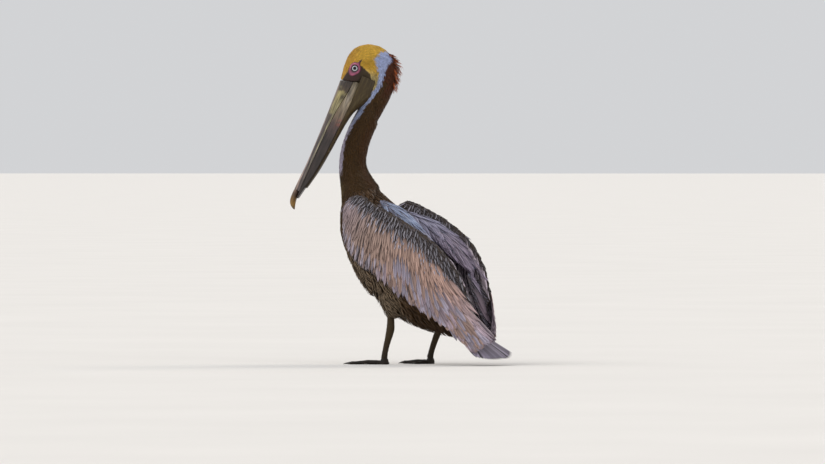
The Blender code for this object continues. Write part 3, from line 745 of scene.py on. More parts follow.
# ------------------------------------ Feathers of breast, belly, flanks, thighs and back
# Longer lance-shaped feathers. Those of the flanks have a pale shaft, which shows as fine pale strokes.
# Under the belly the feathers hang looser.
LANCE_FORM = (0.45, 0.95, 1.0, 0.62, 0.0), RIDGED
FLANKS_TOP, FLANKS_BACK, FLANKS_INNER = 0.29, 0.02, 0.045  # strokes lie below, before and outside these
FLECK_SHARE = 0.65
CLOSE_LIFT, LOOSE_LIFT = 0.0040, 0.0070  # how high the tips stand, and how much higher under the belly


def flank_flecks(places, plain):
    """The colours with a pale shaft and dark edges on the flanks."""
    grey = evenly("#7D6C58")(places)
    streaked = feather_colours(grey, LANCE_FORM, edge=0.12, root=0.5, shaft=1.5, tip=1.2, spread=0.16)
    flank = above(FLANKS_TOP - places[:, 2], 0, 0.05) * above(FLANKS_BACK - places[:, 1], 0, 0.05)
    flank *= above(abs(places[:, 0]), FLANKS_INNER, 0.03)
    return plain + (streaked - plain) * FLECK_SHARE * flank[:, None, None, None]


for name, kind, spacing, length, slim in (
    ("body_feathers", "trunk", 0.0052, 0.024, 0.125),
    ("thigh_feathers", "thigh", 0.0040, 0.016, 0.13),
):
    roots = scatter([kind], spacing)
    lifts = CLOSE_LIFT + LOOSE_LIFT * above(-roots[1][:, 2], 0.45, 0.3)
    coat(
        name, "body_feathers", roots, LANCE_FORM, COLOUR_OF[kind], varied(length, 0.12, roots[0]), slim,
        heights=lifts, stray=0.10, flecks=flank_flecks, edge=0.85, root=0.8, shaft=1.15,
    )


# ------------------------------------ Wings
# Each folded wing is laid out over its own outline from the side: from its upper edge to its lower edge, and
# from the wrist at the front to the tips at the back. Rows of coverts lie over the long flight feathers.
COVERT_FORM = (0.40, 0.80, 1.0, 1.0, 0.88, 0.60, 0.28, 0.0), VAULTED
REAR_FORM = (0.30, 0.55, 0.80, 0.95, 1.0, 1.0, 0.96, 0.84, 0.60, 0.0), VAULTED
FLIGHT_FORM = (0.35, 0.6, 0.85, 1.0, 1.0, 1.0, 1.0, 0.96, 0.88, 0.72, 0.48, 0.0), VAULTED

TIPS_END = 0.945  # share of the wing's length that the longest feathers reach
EDGE_PARTS, WING_SLICES, HALF_WING_SLICE = 8, 50, 0.015  # how finely its outline is taken
MOST_ROOM = 0.3  # no feather is longer than this
ROOM_STEP = 0.003
FAR_OUT = 0.4  # a place outside either wing, from which lines are drawn at it
WING_JUMP = 0.012  # a shaft passes over a greater step than this as over a gap

# How far below level the feathers point, in degrees, over the share of the wing's length from the front
WING_LIE = (
    (0, 116), (0.08, 113), (0.32, 97), (0.46, 90), (0.61, 78), (0.70, 66), (0.80, 58), (0.91, 54), (1, 52),
)


class Wing:
    """One folded wing: its outer face, and its outline from the side."""

    def __init__(self, side):
        self.sign = 1 if side == "left" else -1
        arm, hand = f"wing_{side}_arm", f"wing_{side}_hand"
        self.face = surface_of(arm, hand)
        self.start, self.along, self.length = wing_lines[side]
        self.front, self.back = self.start[0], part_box(hand)[1].y
        self.up = np.array([-self.along[1], self.along[0]])
        places = []
        for node_name in (arm, hand):
            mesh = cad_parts[node_name].data
            corners = points_of(mesh)
            for a, b in (edge.vertices for edge in mesh.edges):
                step = (corners[b] - corners[a]) / EDGE_PARTS
                places += [corners[a] + step * t for t in range(EDGE_PARTS)]
        away = np.array(places)[:, 1:] - self.start
        share, height = away @ self.along / self.length, away @ self.up
        self.shares = np.linspace(share.min(), share.max(), WING_SLICES)
        near = [abs(share - s) < HALF_WING_SLICE for s in self.shares]
        self.tops = np.array([height[n].max() for n in near])
        self.lows = np.array([height[n].min() for n in near])

    def edges(self, share):
        """How high the upper and the lower edge lie there."""
        return np.interp(share, self.shares, self.tops), np.interp(share, self.shares, self.lows)

    def place(self, share, down):
        """The place in the side view, a share along the wing and a share down from its upper edge."""
        top, low = self.edges(share)
        return self.start + self.along * share * self.length + self.up * (top + (low - top) * down)

    def down_at(self, y, z):
        """Share of the length, and share down from the upper edge, of a place in the side view."""
        away = np.array([y, z]) - self.start
        share = away @ self.along / self.length
        top, low = self.edges(share)
        return share, (top - away @ self.up) / max(top - low, 0.002)

    def way(self, y):
        angle = math.radians(np.interp((y - self.front) / (self.back - self.front), *zip(*WING_LIE)))
        return np.array([math.cos(angle), -math.sin(angle)])

    def room(self, y, z):
        """How far a feather rooted here can lie before it passes the lower edge of the wing."""
        gone = 0.0
        spot = np.array([y, z])
        while gone < MOST_ROOM:
            share, down = self.down_at(*spot)
            if down > 1 or share > TIPS_END:
                break
            spot = spot + self.way(spot[0]) * ROOM_STEP
            gone += ROOM_STEP
        return gone

    def shaft(self, face, y, z, length, low, high, steps, stray):
        """A feather's shaft over a surface, from a root at one height above it to a tip at another."""
        spot, point, up = np.array([y, z]), None, None
        shaft, ups = [], []
        turn = np.array([[math.cos(stray), -math.sin(stray)], [math.sin(stray), math.cos(stray)]])
        for k in range(steps + 1):
            hit = face.ray_cast(Vector((self.sign * FAR_OUT, *spot)), Vector((-self.sign, 0, 0)))
            if hit[0] is not None and (point is None or abs(hit[0].x - point[0]) < WING_JUMP):
                point = np.array(hit[0])
                up = np.array(hit[1]) if up is None else unit(up * 0.5 + np.array(hit[1]) * 0.5)
            elif point is None:
                return None
            else:
                slope = shaft_slope if k > 1 else 0
                point = np.array([point[0] + slope * length / steps, *spot])
            if k:
                shaft_slope = (point[0] - before) / (length / steps)
            before = point[0]
            shaft.append(point + up * (low + (high - low) * k / steps))
            ups.append(up)
            spot = spot + turn @ self.way(spot[0]) * length / steps
        return shaft, ups


wings = {side: Wing(side) for side in ("left", "right")}

# Small dark feathers close the gaps between the roots of the larger ones. Their dark tones are painted shade
# for those gaps.
for kind, tone in (("wing", "#403A3B"), ("scapulars", "#646270"), ("tertials", "#4B464E")):
    roots = scatter([kind], 0.0048)
    coat(
        f"{kind}_under_feathers", "wing_feathers", roots, LANCE_FORM, evenly(tone),
        varied(0.0130, 0.1, roots[0]), slim=0.2, heights=0.0022, stray=0.15,
        edge=0.6, root=0.6, tip=1.3, shaft=1.7, spread=0.2,
    )


def wing_rows(wing, first, last, rows, spacing, start, end):
    """Roots in staggered rows across the wing: share of its length, and share down from its upper edge."""
    roots = []
    for row in range(rows):
        down = first + (last - first) * row / max(rows - 1, 1)
        count = int((end - start) * wing.length / spacing)
        for i in range(count):
            share = start + (end - start) * (i + 0.5 * (row % 2) + dice.normal(0.25, 0.12)) / count
            roots.append((share, down + dice.normal(0, 0.012)))
    return roots


def wing_tone(share, down):
    """Pinkish brown in the middle of the wing, greyer and more lilac at its front, lower edge and tip."""
    tones = [shade(c) for c in ("#766A72", "#88746C", "#957B70", "#967A70", "#978790", "#81768A")]
    at = np.clip(share, 0, 1) * (len(tones) - 1)
    tone = tones[int(at)] + (tones[min(int(at) + 1, 5)] - tones[int(at)]) * (at - int(at))
    return tone + (shade("#A79BA8") - tone) * np.clip((down - 0.62) / 0.4, 0, 0.7)


def edge_tone(share, down):
    return shade("#8E858F")


def rear_tone(share, down):
    """Each of the broad feathers behind is either brownish pink or silver-lilac."""
    return shade(dice.choice(["#8A736B", "#8A756F", "#877881", "#8B8391"]))


def flight_tone(share, down):
    """Brown-grey, and more lilac towards the lower edge."""
    return shade("#776B74") + (shade("#9692A8") - shade("#776B74")) * np.clip((down - 0.35) / 0.4, 0, 1)


FLESH_THINS = 0.6  # share of the wing's length behind which the skin is too thin to lay feathers on
LOWER_THERE = 0.0035
SHORTEST = 0.25  # share of its length below which a feather is left out


def tract(name, slot, side, roots, lengths, half_widths, heights, form, tone, reach_out,
          face=skin_surface, stray=0.05, **looks):
    """One tract of a wing's feathers as one mesh, with the sizes of its first and its last feather."""
    wing = wings[side]
    shafts, ups, bases, wide, spots = [], [], [], [], []
    for share, down in roots:
        y, z = wing.place(share, down)
        length = np.interp(share, (0, 1), lengths)
        full = length * (1 + dice.normal(0, 0.07))
        full = min(full, wing.room(y, z) + reach_out + abs(dice.normal(0, 0.002)))
        if full < SHORTEST * length:
            continue
        beyond_flesh = face is skin_surface and share > FLESH_THINS
        low, high = np.array(heights) - (LOWER_THERE if beyond_flesh else 0)
        over = wing.face if face is None or beyond_flesh else face
        laid = wing.shaft(over, y, z, full, low, high, len(form[0]) - 1, dice.normal(0, stray))
        if laid is None:
            continue
        shafts.append(laid[0])
        ups.append(laid[1])
        bases.append(tone(share, down))
        width = np.interp(share, (0, 1), half_widths) * (1 + dice.normal(0, 0.06))
        wide.append(width * (0.6 + 0.4 * full / length))
        spots.append((share, down))
    colours = feather_colours(np.array(bases), form, **looks)
    shafts, ups, wide, spots = (np.array(values) for values in (shafts, ups, wide, spots))
    vanes(f"{name}_{side}", slot, shafts, ups, wide, form, colours, spots)


TRACTS = (
    # name, slot, rows (first and last share down, number, spacing, first and last share along), lengths,
    # half widths, heights of root and tip, form, tone, how far past the wing's lower edge, looks
    ("primaries", "flight_feathers", (0.25, 0.80, 4, 0.017, 0.52, 0.86), (0.150, 0.150), (0.0095, 0.0095),
     (-0.0045, -0.0010), FLIGHT_FORM, flight_tone, -0.002,
     {"face": None, "stray": 0.02, "edge": 1.7, "root": 0.6, "tip": 1.35, "shaft": 0.65, "spread": 0.2}),
    ("greater_coverts", "wing_feathers", (0.50, 0.84, 5, 0.0125, 0.04, 0.86), (0.055, 0.105),
     (0.0056, 0.0098), (0.0004, 0.0028), COVERT_FORM, wing_tone, -0.006,
     {"edge": 1.5, "root": 0.35, "tip": 1.35, "shaft": 0.75, "spread": 0.18}),
    ("edge_coverts", "wing_feathers", (0.62, 0.84, 3, 0.0150, 0.03, 0.44), (0.050, 0.050), (0.0060, 0.0060),
     (0.0010, 0.0060), COVERT_FORM, edge_tone, -0.008,
     {"edge": 0.6, "root": 0.4, "tip": 1.25, "shaft": 1.15, "spread": 0.2}),
    ("median_coverts", "wing_feathers", (0.20, 0.64, 9, 0.0092, 0.01, 0.88), (0.040, 0.074), (0.0038, 0.0064),
     (0.0012, 0.0045), COVERT_FORM, wing_tone, -0.004,
     {"edge": 0.55, "root": 0.45, "tip": 1.2, "shaft": 1.35, "spread": 0.15}),
    ("rear_coverts", "wing_feathers", (0.40, 0.86, 7, 0.0150, 0.34, 0.90), (0.058, 0.092), (0.0046, 0.0074),
     (0.0020, 0.0062), REAR_FORM, rear_tone, -0.002,
     {"stray": 0.07, "edge": 1.9, "root": 0.2, "tip": 1.45, "shaft": 0.6, "spread": 0.16}),
)
for side, wing in wings.items():
    for name, slot, rows, *sizes, form, tone, reach_out, looks in TRACTS:
        tract(name, slot, side, wing_rows(wing, *rows), *sizes, form, tone, reach_out, **looks)


# ------------------------------------ Lesser coverts
# Small dark feathers with a silver shaft streak cover the shoulder and the upper edge of each wing. Behind
# the shoulder, longer mauve feathers and the long pale-edged ones of the upper arm cover its inner side.
def wing_way(points):
    """The way that the wing's feathers point, over its upper edge and down its outer face."""
    ways = np.zeros_like(points)
    for i, point in enumerate(points):
        wing = wings["left" if point[0] > 0 else "right"]
        ways[i] = (0.35 * wing.sign, *wing.way(point[1]))
    return unit(ways)


def on_wings(places):
    """Share of the wing's length and share down from its upper edge of places on either wing."""
    spots = [wings["left" if place[0] > 0 else "right"].down_at(place[1], place[2]) for place in places]
    return np.array(spots)


def wing_spots(places):
    """Places on an unwrap of both wings' skin, the left one beside the right one."""
    spots = on_wings(places)
    return np.stack([spots[:, 0] * 0.48 + np.where(places[:, 0] < 0, 0.52, 0), spots[:, 1]], axis=1)


def lesser_tone(places):
    return blend(shade("#403E42"), shade("#5C5860"), above(on_wings(places)[:, 1], 0.20, 0.2))


def within_wing(lengths, shafts, ups):
    """Chooses the feathers of the inner side that don't bend round the edge of the wing."""
    reaches = np.linalg.norm(shafts[:, -1] - shafts[:, 0], axis=1)
    inside = (ups[:, :, 0] * np.sign(shafts[:, :, 0])).max(1) < -0.05
    return (reaches > 0.95 * lengths) & inside


places, ups = scatter(["wing"], 0.0064)
spots = on_wings(places)
outside = ups[:, 0] * np.sign(places[:, 0]) > -0.25
small = np.where(outside, spots[:, 1] < 0.27 + 0.05 * np.sin(spots[:, 0] * 40), spots[:, 0] < 0.46)
places, ups = places[small], ups[small]
coat(
    "lesser_coverts", "wing_feathers", (places, ups), LANCE_FORM, lesser_tone, varied(0.0205, 0.1, places),
    slim=0.12, heights=0.0048, stray=0.10, way=wing_way, spots=wing_spots(places),
    edge=0.35, root=0.6, tip=1.5, shaft=3.9, spread=0.25,
)

for name, slot, spacing, first, last, length, slim, height, form, colour, looks in (
    ("inner_coverts", "wing_feathers", 0.0092, 0.42, 1.30, 0.052, 0.095, 0.0050, COVERT_FORM, "#A3979F",
     {"edge": 1.7, "root": 0.5, "shaft": 0.6, "spread": 0.20}),
    ("inner_tertials", "flight_feathers", 0.0150, 0.52, 0.84, 0.088, 0.085, 0.0066, REAR_FORM, "#AD9FA8",
     {"edge": 1.9, "root": 0.4, "shaft": 0.5, "spread": 0.25}),
):
    places, ups = scatter(["wing"], spacing)
    share = on_wings(places)[:, 0]
    inner = (ups[:, 0] * np.sign(places[:, 0]) < -0.15) & (share > first) & (share < last)
    places, ups = places[inner], ups[inner]
    coat(
        name, slot, (places, ups), form, evenly(colour), varied(length, 0.1, places), slim, height,
        stray=0.07, way=wing_way, spots=wing_spots(places), kept=within_wing, **looks,
    )


# ------------------------------------ Scapulars and tertials
# Long silver-lilac feathers that lie over the shoulders and the back, and behind them the broad grey-brown
# feathers of the upper arm, which close over the rump.
def pad_way(points):
    ways = lie(points)
    ways[:, 0] *= 0.3
    return unit(ways)


def scapular_tone(places):
    """Silver-blue on the shoulders and mauve behind them. The left shoulder is painted more silver-blue than
    the right: painted light, for the two sides of the bird are alike.
    """
    # More silver-blue on the left shoulder: painted light on the side that faces the light
    silver = above(places[:, 2], 0.33, 0.06) * (0.4 + 0.6 * above(places[:, 0], -0.01, 0.02))
    return blend(shade("#7F7484"), shade("#858FA8"), silver)


for name, slot, spacing, length, slim, form, tone, looks in (
    ("scapulars", "body_feathers", 0.0085, 0.056, 0.085, COVERT_FORM, scapular_tone,
     {"edge": 2.0, "root": 0.35, "tip": 1.35, "shaft": 0.55}),
    ("tertials", "flight_feathers", 0.0140, 0.078, 0.125, FLIGHT_FORM, either("#5A4D54", "#746772"),
     {"edge": 2.3, "root": 0.45, "tip": 1.25, "shaft": 0.7}),
):
    roots = scatter([name], spacing)
    coat(
        name, slot, roots, form, tone, varied(length, 0.08, roots[0]), slim, COAT_DEPTH[name] + 0.001,
        stray=0.06, way=pad_way, spread=0.14, **looks,
    )


# ------------------------------------ Tail
# Twenty-two stiff feathers spread from one root, each a little lower than the next one inwards.
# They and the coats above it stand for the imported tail.
TAIL_FEATHERS = 22
TAIL_SPREAD = 0.060  # from the middle of the fan to the tip of its outermost feather
ROOT_SPREAD = 0.3  # share of that at the roots
OUTER_SHORTER = 0.030
TAIL_FEATHER_HALF = 0.0085

tail_places = points_of(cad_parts["tail"].data)
tail_middle = tail_places.mean(0)
tail_frame = np.linalg.svd(tail_places - tail_middle, full_matrices=False)[2]
tail_back = tail_frame[0] * -np.sign(tail_frame[0][2])
tail_aside = tail_frame[1] * np.sign(tail_frame[1][0])
tail_up = np.cross(tail_aside, tail_back)
tail_up *= np.sign(tail_up[2])
along = (tail_places - tail_middle) @ tail_back
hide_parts("tail")
shafts, ups, spots = [], [], []
for spread in np.linspace(-1, 1, TAIL_FEATHERS):
    tip_along = along.max() - OUTER_SHORTER * abs(spread) ** 2
    root = tail_middle + tail_back * (along.min() - 0.01) + tail_aside * TAIL_SPREAD * ROOT_SPREAD * spread
    tip = tail_middle + tail_back * tip_along + tail_aside * TAIL_SPREAD * spread
    layer = tail_up * (0.004 - 0.009 * abs(spread))
    stations = np.linspace(0, 1, len(FLIGHT_FORM[0]))
    shafts.append([root + (tip - root) * t + layer * t for t in stations])
    ups.append([unit(tail_up + tail_aside * 0.25 * spread)] * len(stations))
    spots.append((0.5 + spread / 2, abs(spread)))
colours = feather_colours(
    evenly("#77707F")(shafts), FLIGHT_FORM, edge=0.2, root=0.45, shaft=0.9, spread=0.42
)
vanes(
    "tail_feathers", "flight_feathers", np.array(shafts), np.array(ups),
    np.full(TAIL_FEATHERS, TAIL_FEATHER_HALF), FLIGHT_FORM, colours, np.array(spots),
)


# ------------------------------------ Bill and pouch
# A long horn bill: a ridge with a groove on each side runs down the upper half to a hooked nail, the lower
# half is two strips of horn, and between them hangs the bare leathery pouch, drawn up and finely folded.
RIDGE_EDGE = 5.5  # how far across the bill the groove beside its ridge lies
GROOVE_DEPTH, FOLD_DEPTH = 0.0009, 0.0007
SHARP_EDGE = math.radians(50)  # edges sharper than this stay fairly hard

# Colours along the bill, in millimetres from its base
SIDE_TONES = (
    (-4, "#2E231C"), (10, "#3E3222"), (24, "#847950"), (66, "#857B57"), (84, "#50453E"), (130, "#362C2E"),
    (290, "#382E2F"),
)
EDGE_TONES = ((0, "#2E231C"), (12, "#3E3222"), (60, "#8A8363"), (190, "#857D6C"), (260, "#5A4F4C"))
RIDGE_TONES = ((-4, "#3A2D27"), (6, "#76685F"), (60, "#8E7F79"), (200, "#97857F"), (285, "#806D64"))
LOWER_TONES = (
    (-20, "#5E523C"), (0, "#7D705A"), (50, "#7F715A"), (78, "#6A5A4A"), (100, "#4C3D3A"), (140, "#2C2220"),
    (300, "#271D19"),
)
NAIL_TONES = ((280, "#6A5040"), (292, "#4A3424"), (304, "#6A4C20"), (318, "#806026"), (326, "#4E3A20"))
POUCH_TONES = ((-40, "#32250F"), (0, "#392B10"), (60, "#3D2E0F"), (150, "#382A0F"), (290, "#332714"))


def ramp(values, stops):
    """A colour at each value, between the hex colours of its stops."""
    at = [stop[0] for stop in stops]
    tones = np.array([shade(stop[1]) for stop in stops])
    return np.stack([np.interp(values, at, tones[:, k]) for k in range(3)], axis=1)


def band(values, middle, half):
    """1 at the middle of a band, 0 beyond its edges."""
    return np.clip(1 - abs(values - middle) / half, 0, 1)


def grain(points, scale, seed):
    """Smooth noise about 0, of a size for each axis."""
    return np.array([noise.noise(place) for place in points * np.array(scale) + np.array([seed, 0, 0])])


def refined(name, node_name, levels, crease=0.6):
    """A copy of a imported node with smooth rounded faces, and its hard edges kept fairly hard."""
    piece = merged_copy(name, node_name)
    work = bmesh.new()
    work.from_mesh(piece.data)
    bmesh.ops.join_triangles(work, faces=work.faces, angle_face_threshold=0.6, angle_shape_threshold=1.2)
    creases = work.edges.layers.float.new("crease_edge")
    for edge in work.edges:
        if len(edge.link_faces) == 2 and edge.calc_face_angle() > SHARP_EDGE:
            edge[creases] = crease
    work.to_mesh(piece.data)
    work.free()
    apply_modifier(piece, "SUBSURF", levels=levels, render_levels=levels)
    piece.data.shade_smooth()
    return piece


def grain_map(mesh, first, second):
    """The map that the fibres and folds of the bill follow."""
    layer = mesh.uv_layers.new(name="Grain")
    corners = np.array([loop.vertex_index for loop in mesh.loops])
    layer.data.foreach_set("uv", np.stack([first[corners], second[corners]], axis=1).ravel())


def displace(mesh, amounts):
    """Moves each vertex out along its normal."""
    moved = points_of(mesh) + points_of(mesh, "normal") * amounts[:, None]
    mesh.vertices.foreach_set("co", moved.ravel())
    mesh.update()


def drawn_out(name, scale, detail, rough, low, high, strength, distance, roughness, ior):
    """A material of fibres or folds that run along the bill and tone and raise it."""
    material = new_material(name)
    lengthwise = add_node(material, "UVMap", uv_map="Grain").outputs["UV"]
    inputs = {"Vector": lengthwise, "Scale": scale, "Detail": detail, "Roughness": rough}
    lines = add_node(material, "TexNoise", inputs).outputs["Fac"]
    tone = add_node(material, "MapRange", {"Value": lines, 1: 0.3, 2: 0.7, 3: low, 4: high}).outputs[0]
    bumps = relief(material, lines, strength, distance)
    finish_material(material, painted(material, tone), roughness, bumps, IOR=ior)
    return material


# Bill horn: keratin in long fibres, worn half glossy and streaked along the bill. The fibres are about a
# millimetre apart where they show.
horn = drawn_out(
    "bill horn", scale=1.0, detail=5, rough=0.6, low=0.5, high=1.45, strength=0.35, distance=0.0006,
    roughness=0.42, ior=1.54,
)

# Pouch skin: bare, elastic and leathery, dull with a slight wet sheen, with folds along its length.
leather = drawn_out(
    "pouch skin", scale=1.6, detail=4, rough=0.5, low=0.75, high=1.25, strength=0.5, distance=0.0008,
    roughness=0.5, ior=1.42,
)

upper = refined("bill_upper_horn", "bill_upper", 3)
along, across, out = on_bill(points_of(upper.data))
groove = np.exp(-(((across - RIDGE_EDGE) / 1.3) ** 2)) * np.clip((along + 4) / 20, 0, 1)
displace(upper.data, -GROOVE_DEPTH * groove)
# The dark root ends in a point on each side, below the ridge
pointed = along - 0.35 * np.clip(across - RIDGE_EDGE, 0, None) * (along < 60)
mottled = pointed + 22 * grain(points_of(upper.data), (90, 90, 90), 7.0)
tones = blend(ramp(mottled, SIDE_TONES), ramp(mottled, EDGE_TONES), band(across, lip_at(along) - 2.5, 3.5))
tones = blend(tones, ramp(mottled, RIDGE_TONES), above(RIDGE_EDGE - across, 0, 1.5))
# The groove beside the ridge is painted darker: painted shade in the groove
tones = blend(tones, shade("#2E2422"), groove * 0.7)
streaks = grain(np.stack([along, across, out], axis=1), (0.045, 0.50, 0.30), 9.0)
paint(upper.data, tones * (1 + 1.1 * streaks)[:, None])
grain_map(upper.data, along * 0.02, across * 0.55 + out * 0.35)
finish_piece(upper, horn, "bill_horn", "bill_upper")

lower = refined("bill_lower_horn", "bill_lower", 3)
along, across, out = on_bill(points_of(lower.data))
tones = ramp(along, LOWER_TONES)
tones = blend(tones, shade("#968E86"), band(along, 30, 45) * band(across, 38, 9) * 0.6)
patch = band(along + 30 * grain(points_of(lower.data), (120, 120, 120), 5.0), 92, 16)
tones = blend(tones, shade("#7E4B40"), patch * band(across, 39, 9))
streaks = grain(np.stack([along, across, out], axis=1), (0.045, 0.45, 0.30), 2.0)
paint(lower.data, tones * (1 + 0.9 * streaks)[:, None])
grain_map(lower.data, along * 0.02, across * 0.55 + out * 0.35)
finish_piece(lower, horn, "bill_horn", "bill_lower")

nail = refined("bill_nail_horn", "bill_nail", 3)
along, across, out = on_bill(points_of(nail.data))
under_side = above(across, np.interp(along, (280, 327), (8, 17)), 5)
paint(nail.data, blend(ramp(along, NAIL_TONES), shade("#1E1814"), under_side))
grain_map(nail.data, along * 0.03, across * 0.5 + out * 0.3)
finish_piece(nail, horn, "nail_horn", "bill_nail")

pouch = refined("pouch_skin", "pouch", 3)
along, across, out = on_bill(points_of(pouch.data))
folds = grain(np.stack([along, across, abs(out)], axis=1), (0.018, 0.42, 0.30), 3.0)
displace(pouch.data, FOLD_DEPTH * folds * np.clip((across - 30) / 15, 0, 1))
# The ridges of the folds are painted lighter olive: painted highlight where light catches them
paint(pouch.data, blend(ramp(along, POUCH_TONES), shade("#5E5230"), np.clip(folds, 0, 1) * 0.6))
grain_map(pouch.data, along * 0.02, across * 0.4 + out * 0.3)
finish_piece(pouch, leather, "pouch_skin", "pouch")


# ------------------------------------ Eyes and lids
# A pale iris round a black pupil under a clear wet cornea, set in wrinkled pink lids that stand a little
# proud of the dark skin of the face. Each eye's sizes are in millimetres, as seen from outside.
PUPIL, IRIS, RIM = 4.0, 6.4, 7.3
BLACK = "#1A1414"
IRIS_TONES = (
    (0, "#050505"), (PUPIL - 0.3, "#050505"), (PUPIL + 0.2, "#8E9096"), (PUPIL + 0.8, "#C2C4CA"),
    (IRIS - 0.6, "#CDCFD4"), (IRIS, "#4A4648"), (RIM, BLACK), (12, BLACK),
)
CORNEA_BULGE = 0.06  # share of the radius
LID_RINGS = (
    # distance from the middle of the eye, height over the face, hex colour
    (7.0, None, "#24151A"),
    (8.2, 1.3, "#2E161D"),
    (9.6, 1.8, "#84455E"),
    (11.4, 1.3, "#954C67"),
    (13.0, 1.0, "#7C3450"),
    (14.2, 0.5, "#3E141F"),
    (15.8, -0.6, "#1E0A0E"),
)
AROUND, BALL_RINGS = 64, 90  # points round each ring of lids and eyeballs, and steps down an eyeball
ON_BALL, LID_EDGE, OUTER_LID = 9, 11, 12.5  # the lids' inner ring, their thick edge and their outer skin
DROOP_ANGLE, DROOP = math.radians(-56), 0.44  # the lids reach furthest below and in front of the eye
CORNER_ANGLE, CORNER_WIDTH = 130, 7  # the raised corner above and behind it, in degrees
CORNER_REACH, CORNER_HEIGHT = 4.5, 1.8
LID_THICKNESS = 0.0008
INSIDE_BALL = 0.97  # the lids' inner ring lies this far out on the ball

# Eyeball: wet and clear in front, so it mirrors the light sharply.
eyeball = new_material("wet eye")
finish_material(
    eyeball, painted(eyeball), roughness=0.25, IOR=1.38, Specular_IOR_Level=0.2, Coat_Weight=0.15,
    Coat_Roughness=0.03,
)

# Lid skin: bare, soft and finely wrinkled, with blood showing through.
lid_skin = new_material("lid skin")
pimples = add_node(lid_skin, "TexVoronoi", {"Vector": on_object(lid_skin), "Scale": 900}).outputs["Distance"]
finish_material(
    lid_skin, painted(lid_skin), roughness=0.48,
    normal=relief(lid_skin, pimples, strength=0.4, distance=0.0004),
    Subsurface_Weight=0.15, Subsurface_Radius=(0.004, 0.0015, 0.001),
)


def depth_of_ball(radius, away):
    """How high a ball stands over its middle, so far away from it."""
    return math.sqrt(max(radius**2 - away**2, 0))


def ring_faces(rings):
    """Faces between rings of points, which lie one after another."""
    faces = []
    for start in range(0, (rings - 1) * AROUND, AROUND):
        for i in range(AROUND):
            a, b = start + i, start + (i + 1) % AROUND
            faces.append((a, b, b + AROUND, a + AROUND))
    return faces


def ball_of(name, radius):
    """A ball about the origin, of rings round its upright axis, with its faces turned inwards."""
    tilts, turns = np.meshgrid(
        np.linspace(0, math.pi, BALL_RINGS + 1)[1:-1],
        np.linspace(0, 2 * math.pi, AROUND, endpoint=False),
        indexing="ij",
    )
    places = np.stack([np.sin(tilts) * np.cos(turns), np.sin(tilts) * np.sin(turns), np.cos(tilts)], axis=-1)
    places = radius * np.concatenate([places.reshape(-1, 3), [(0, 0, 1), (0, 0, -1)]])
    faces = ring_faces(BALL_RINGS - 1)
    top, last_ring = len(places) - 2, (BALL_RINGS - 2) * AROUND
    for i in range(AROUND):
        after = (i + 1) % AROUND
        faces += [(top, after, i), (top + 1, last_ring + i, last_ring + after)]
    mesh = bpy.data.meshes.new(name)
    mesh.from_pydata(places, [], faces)
    return link(name, mesh)


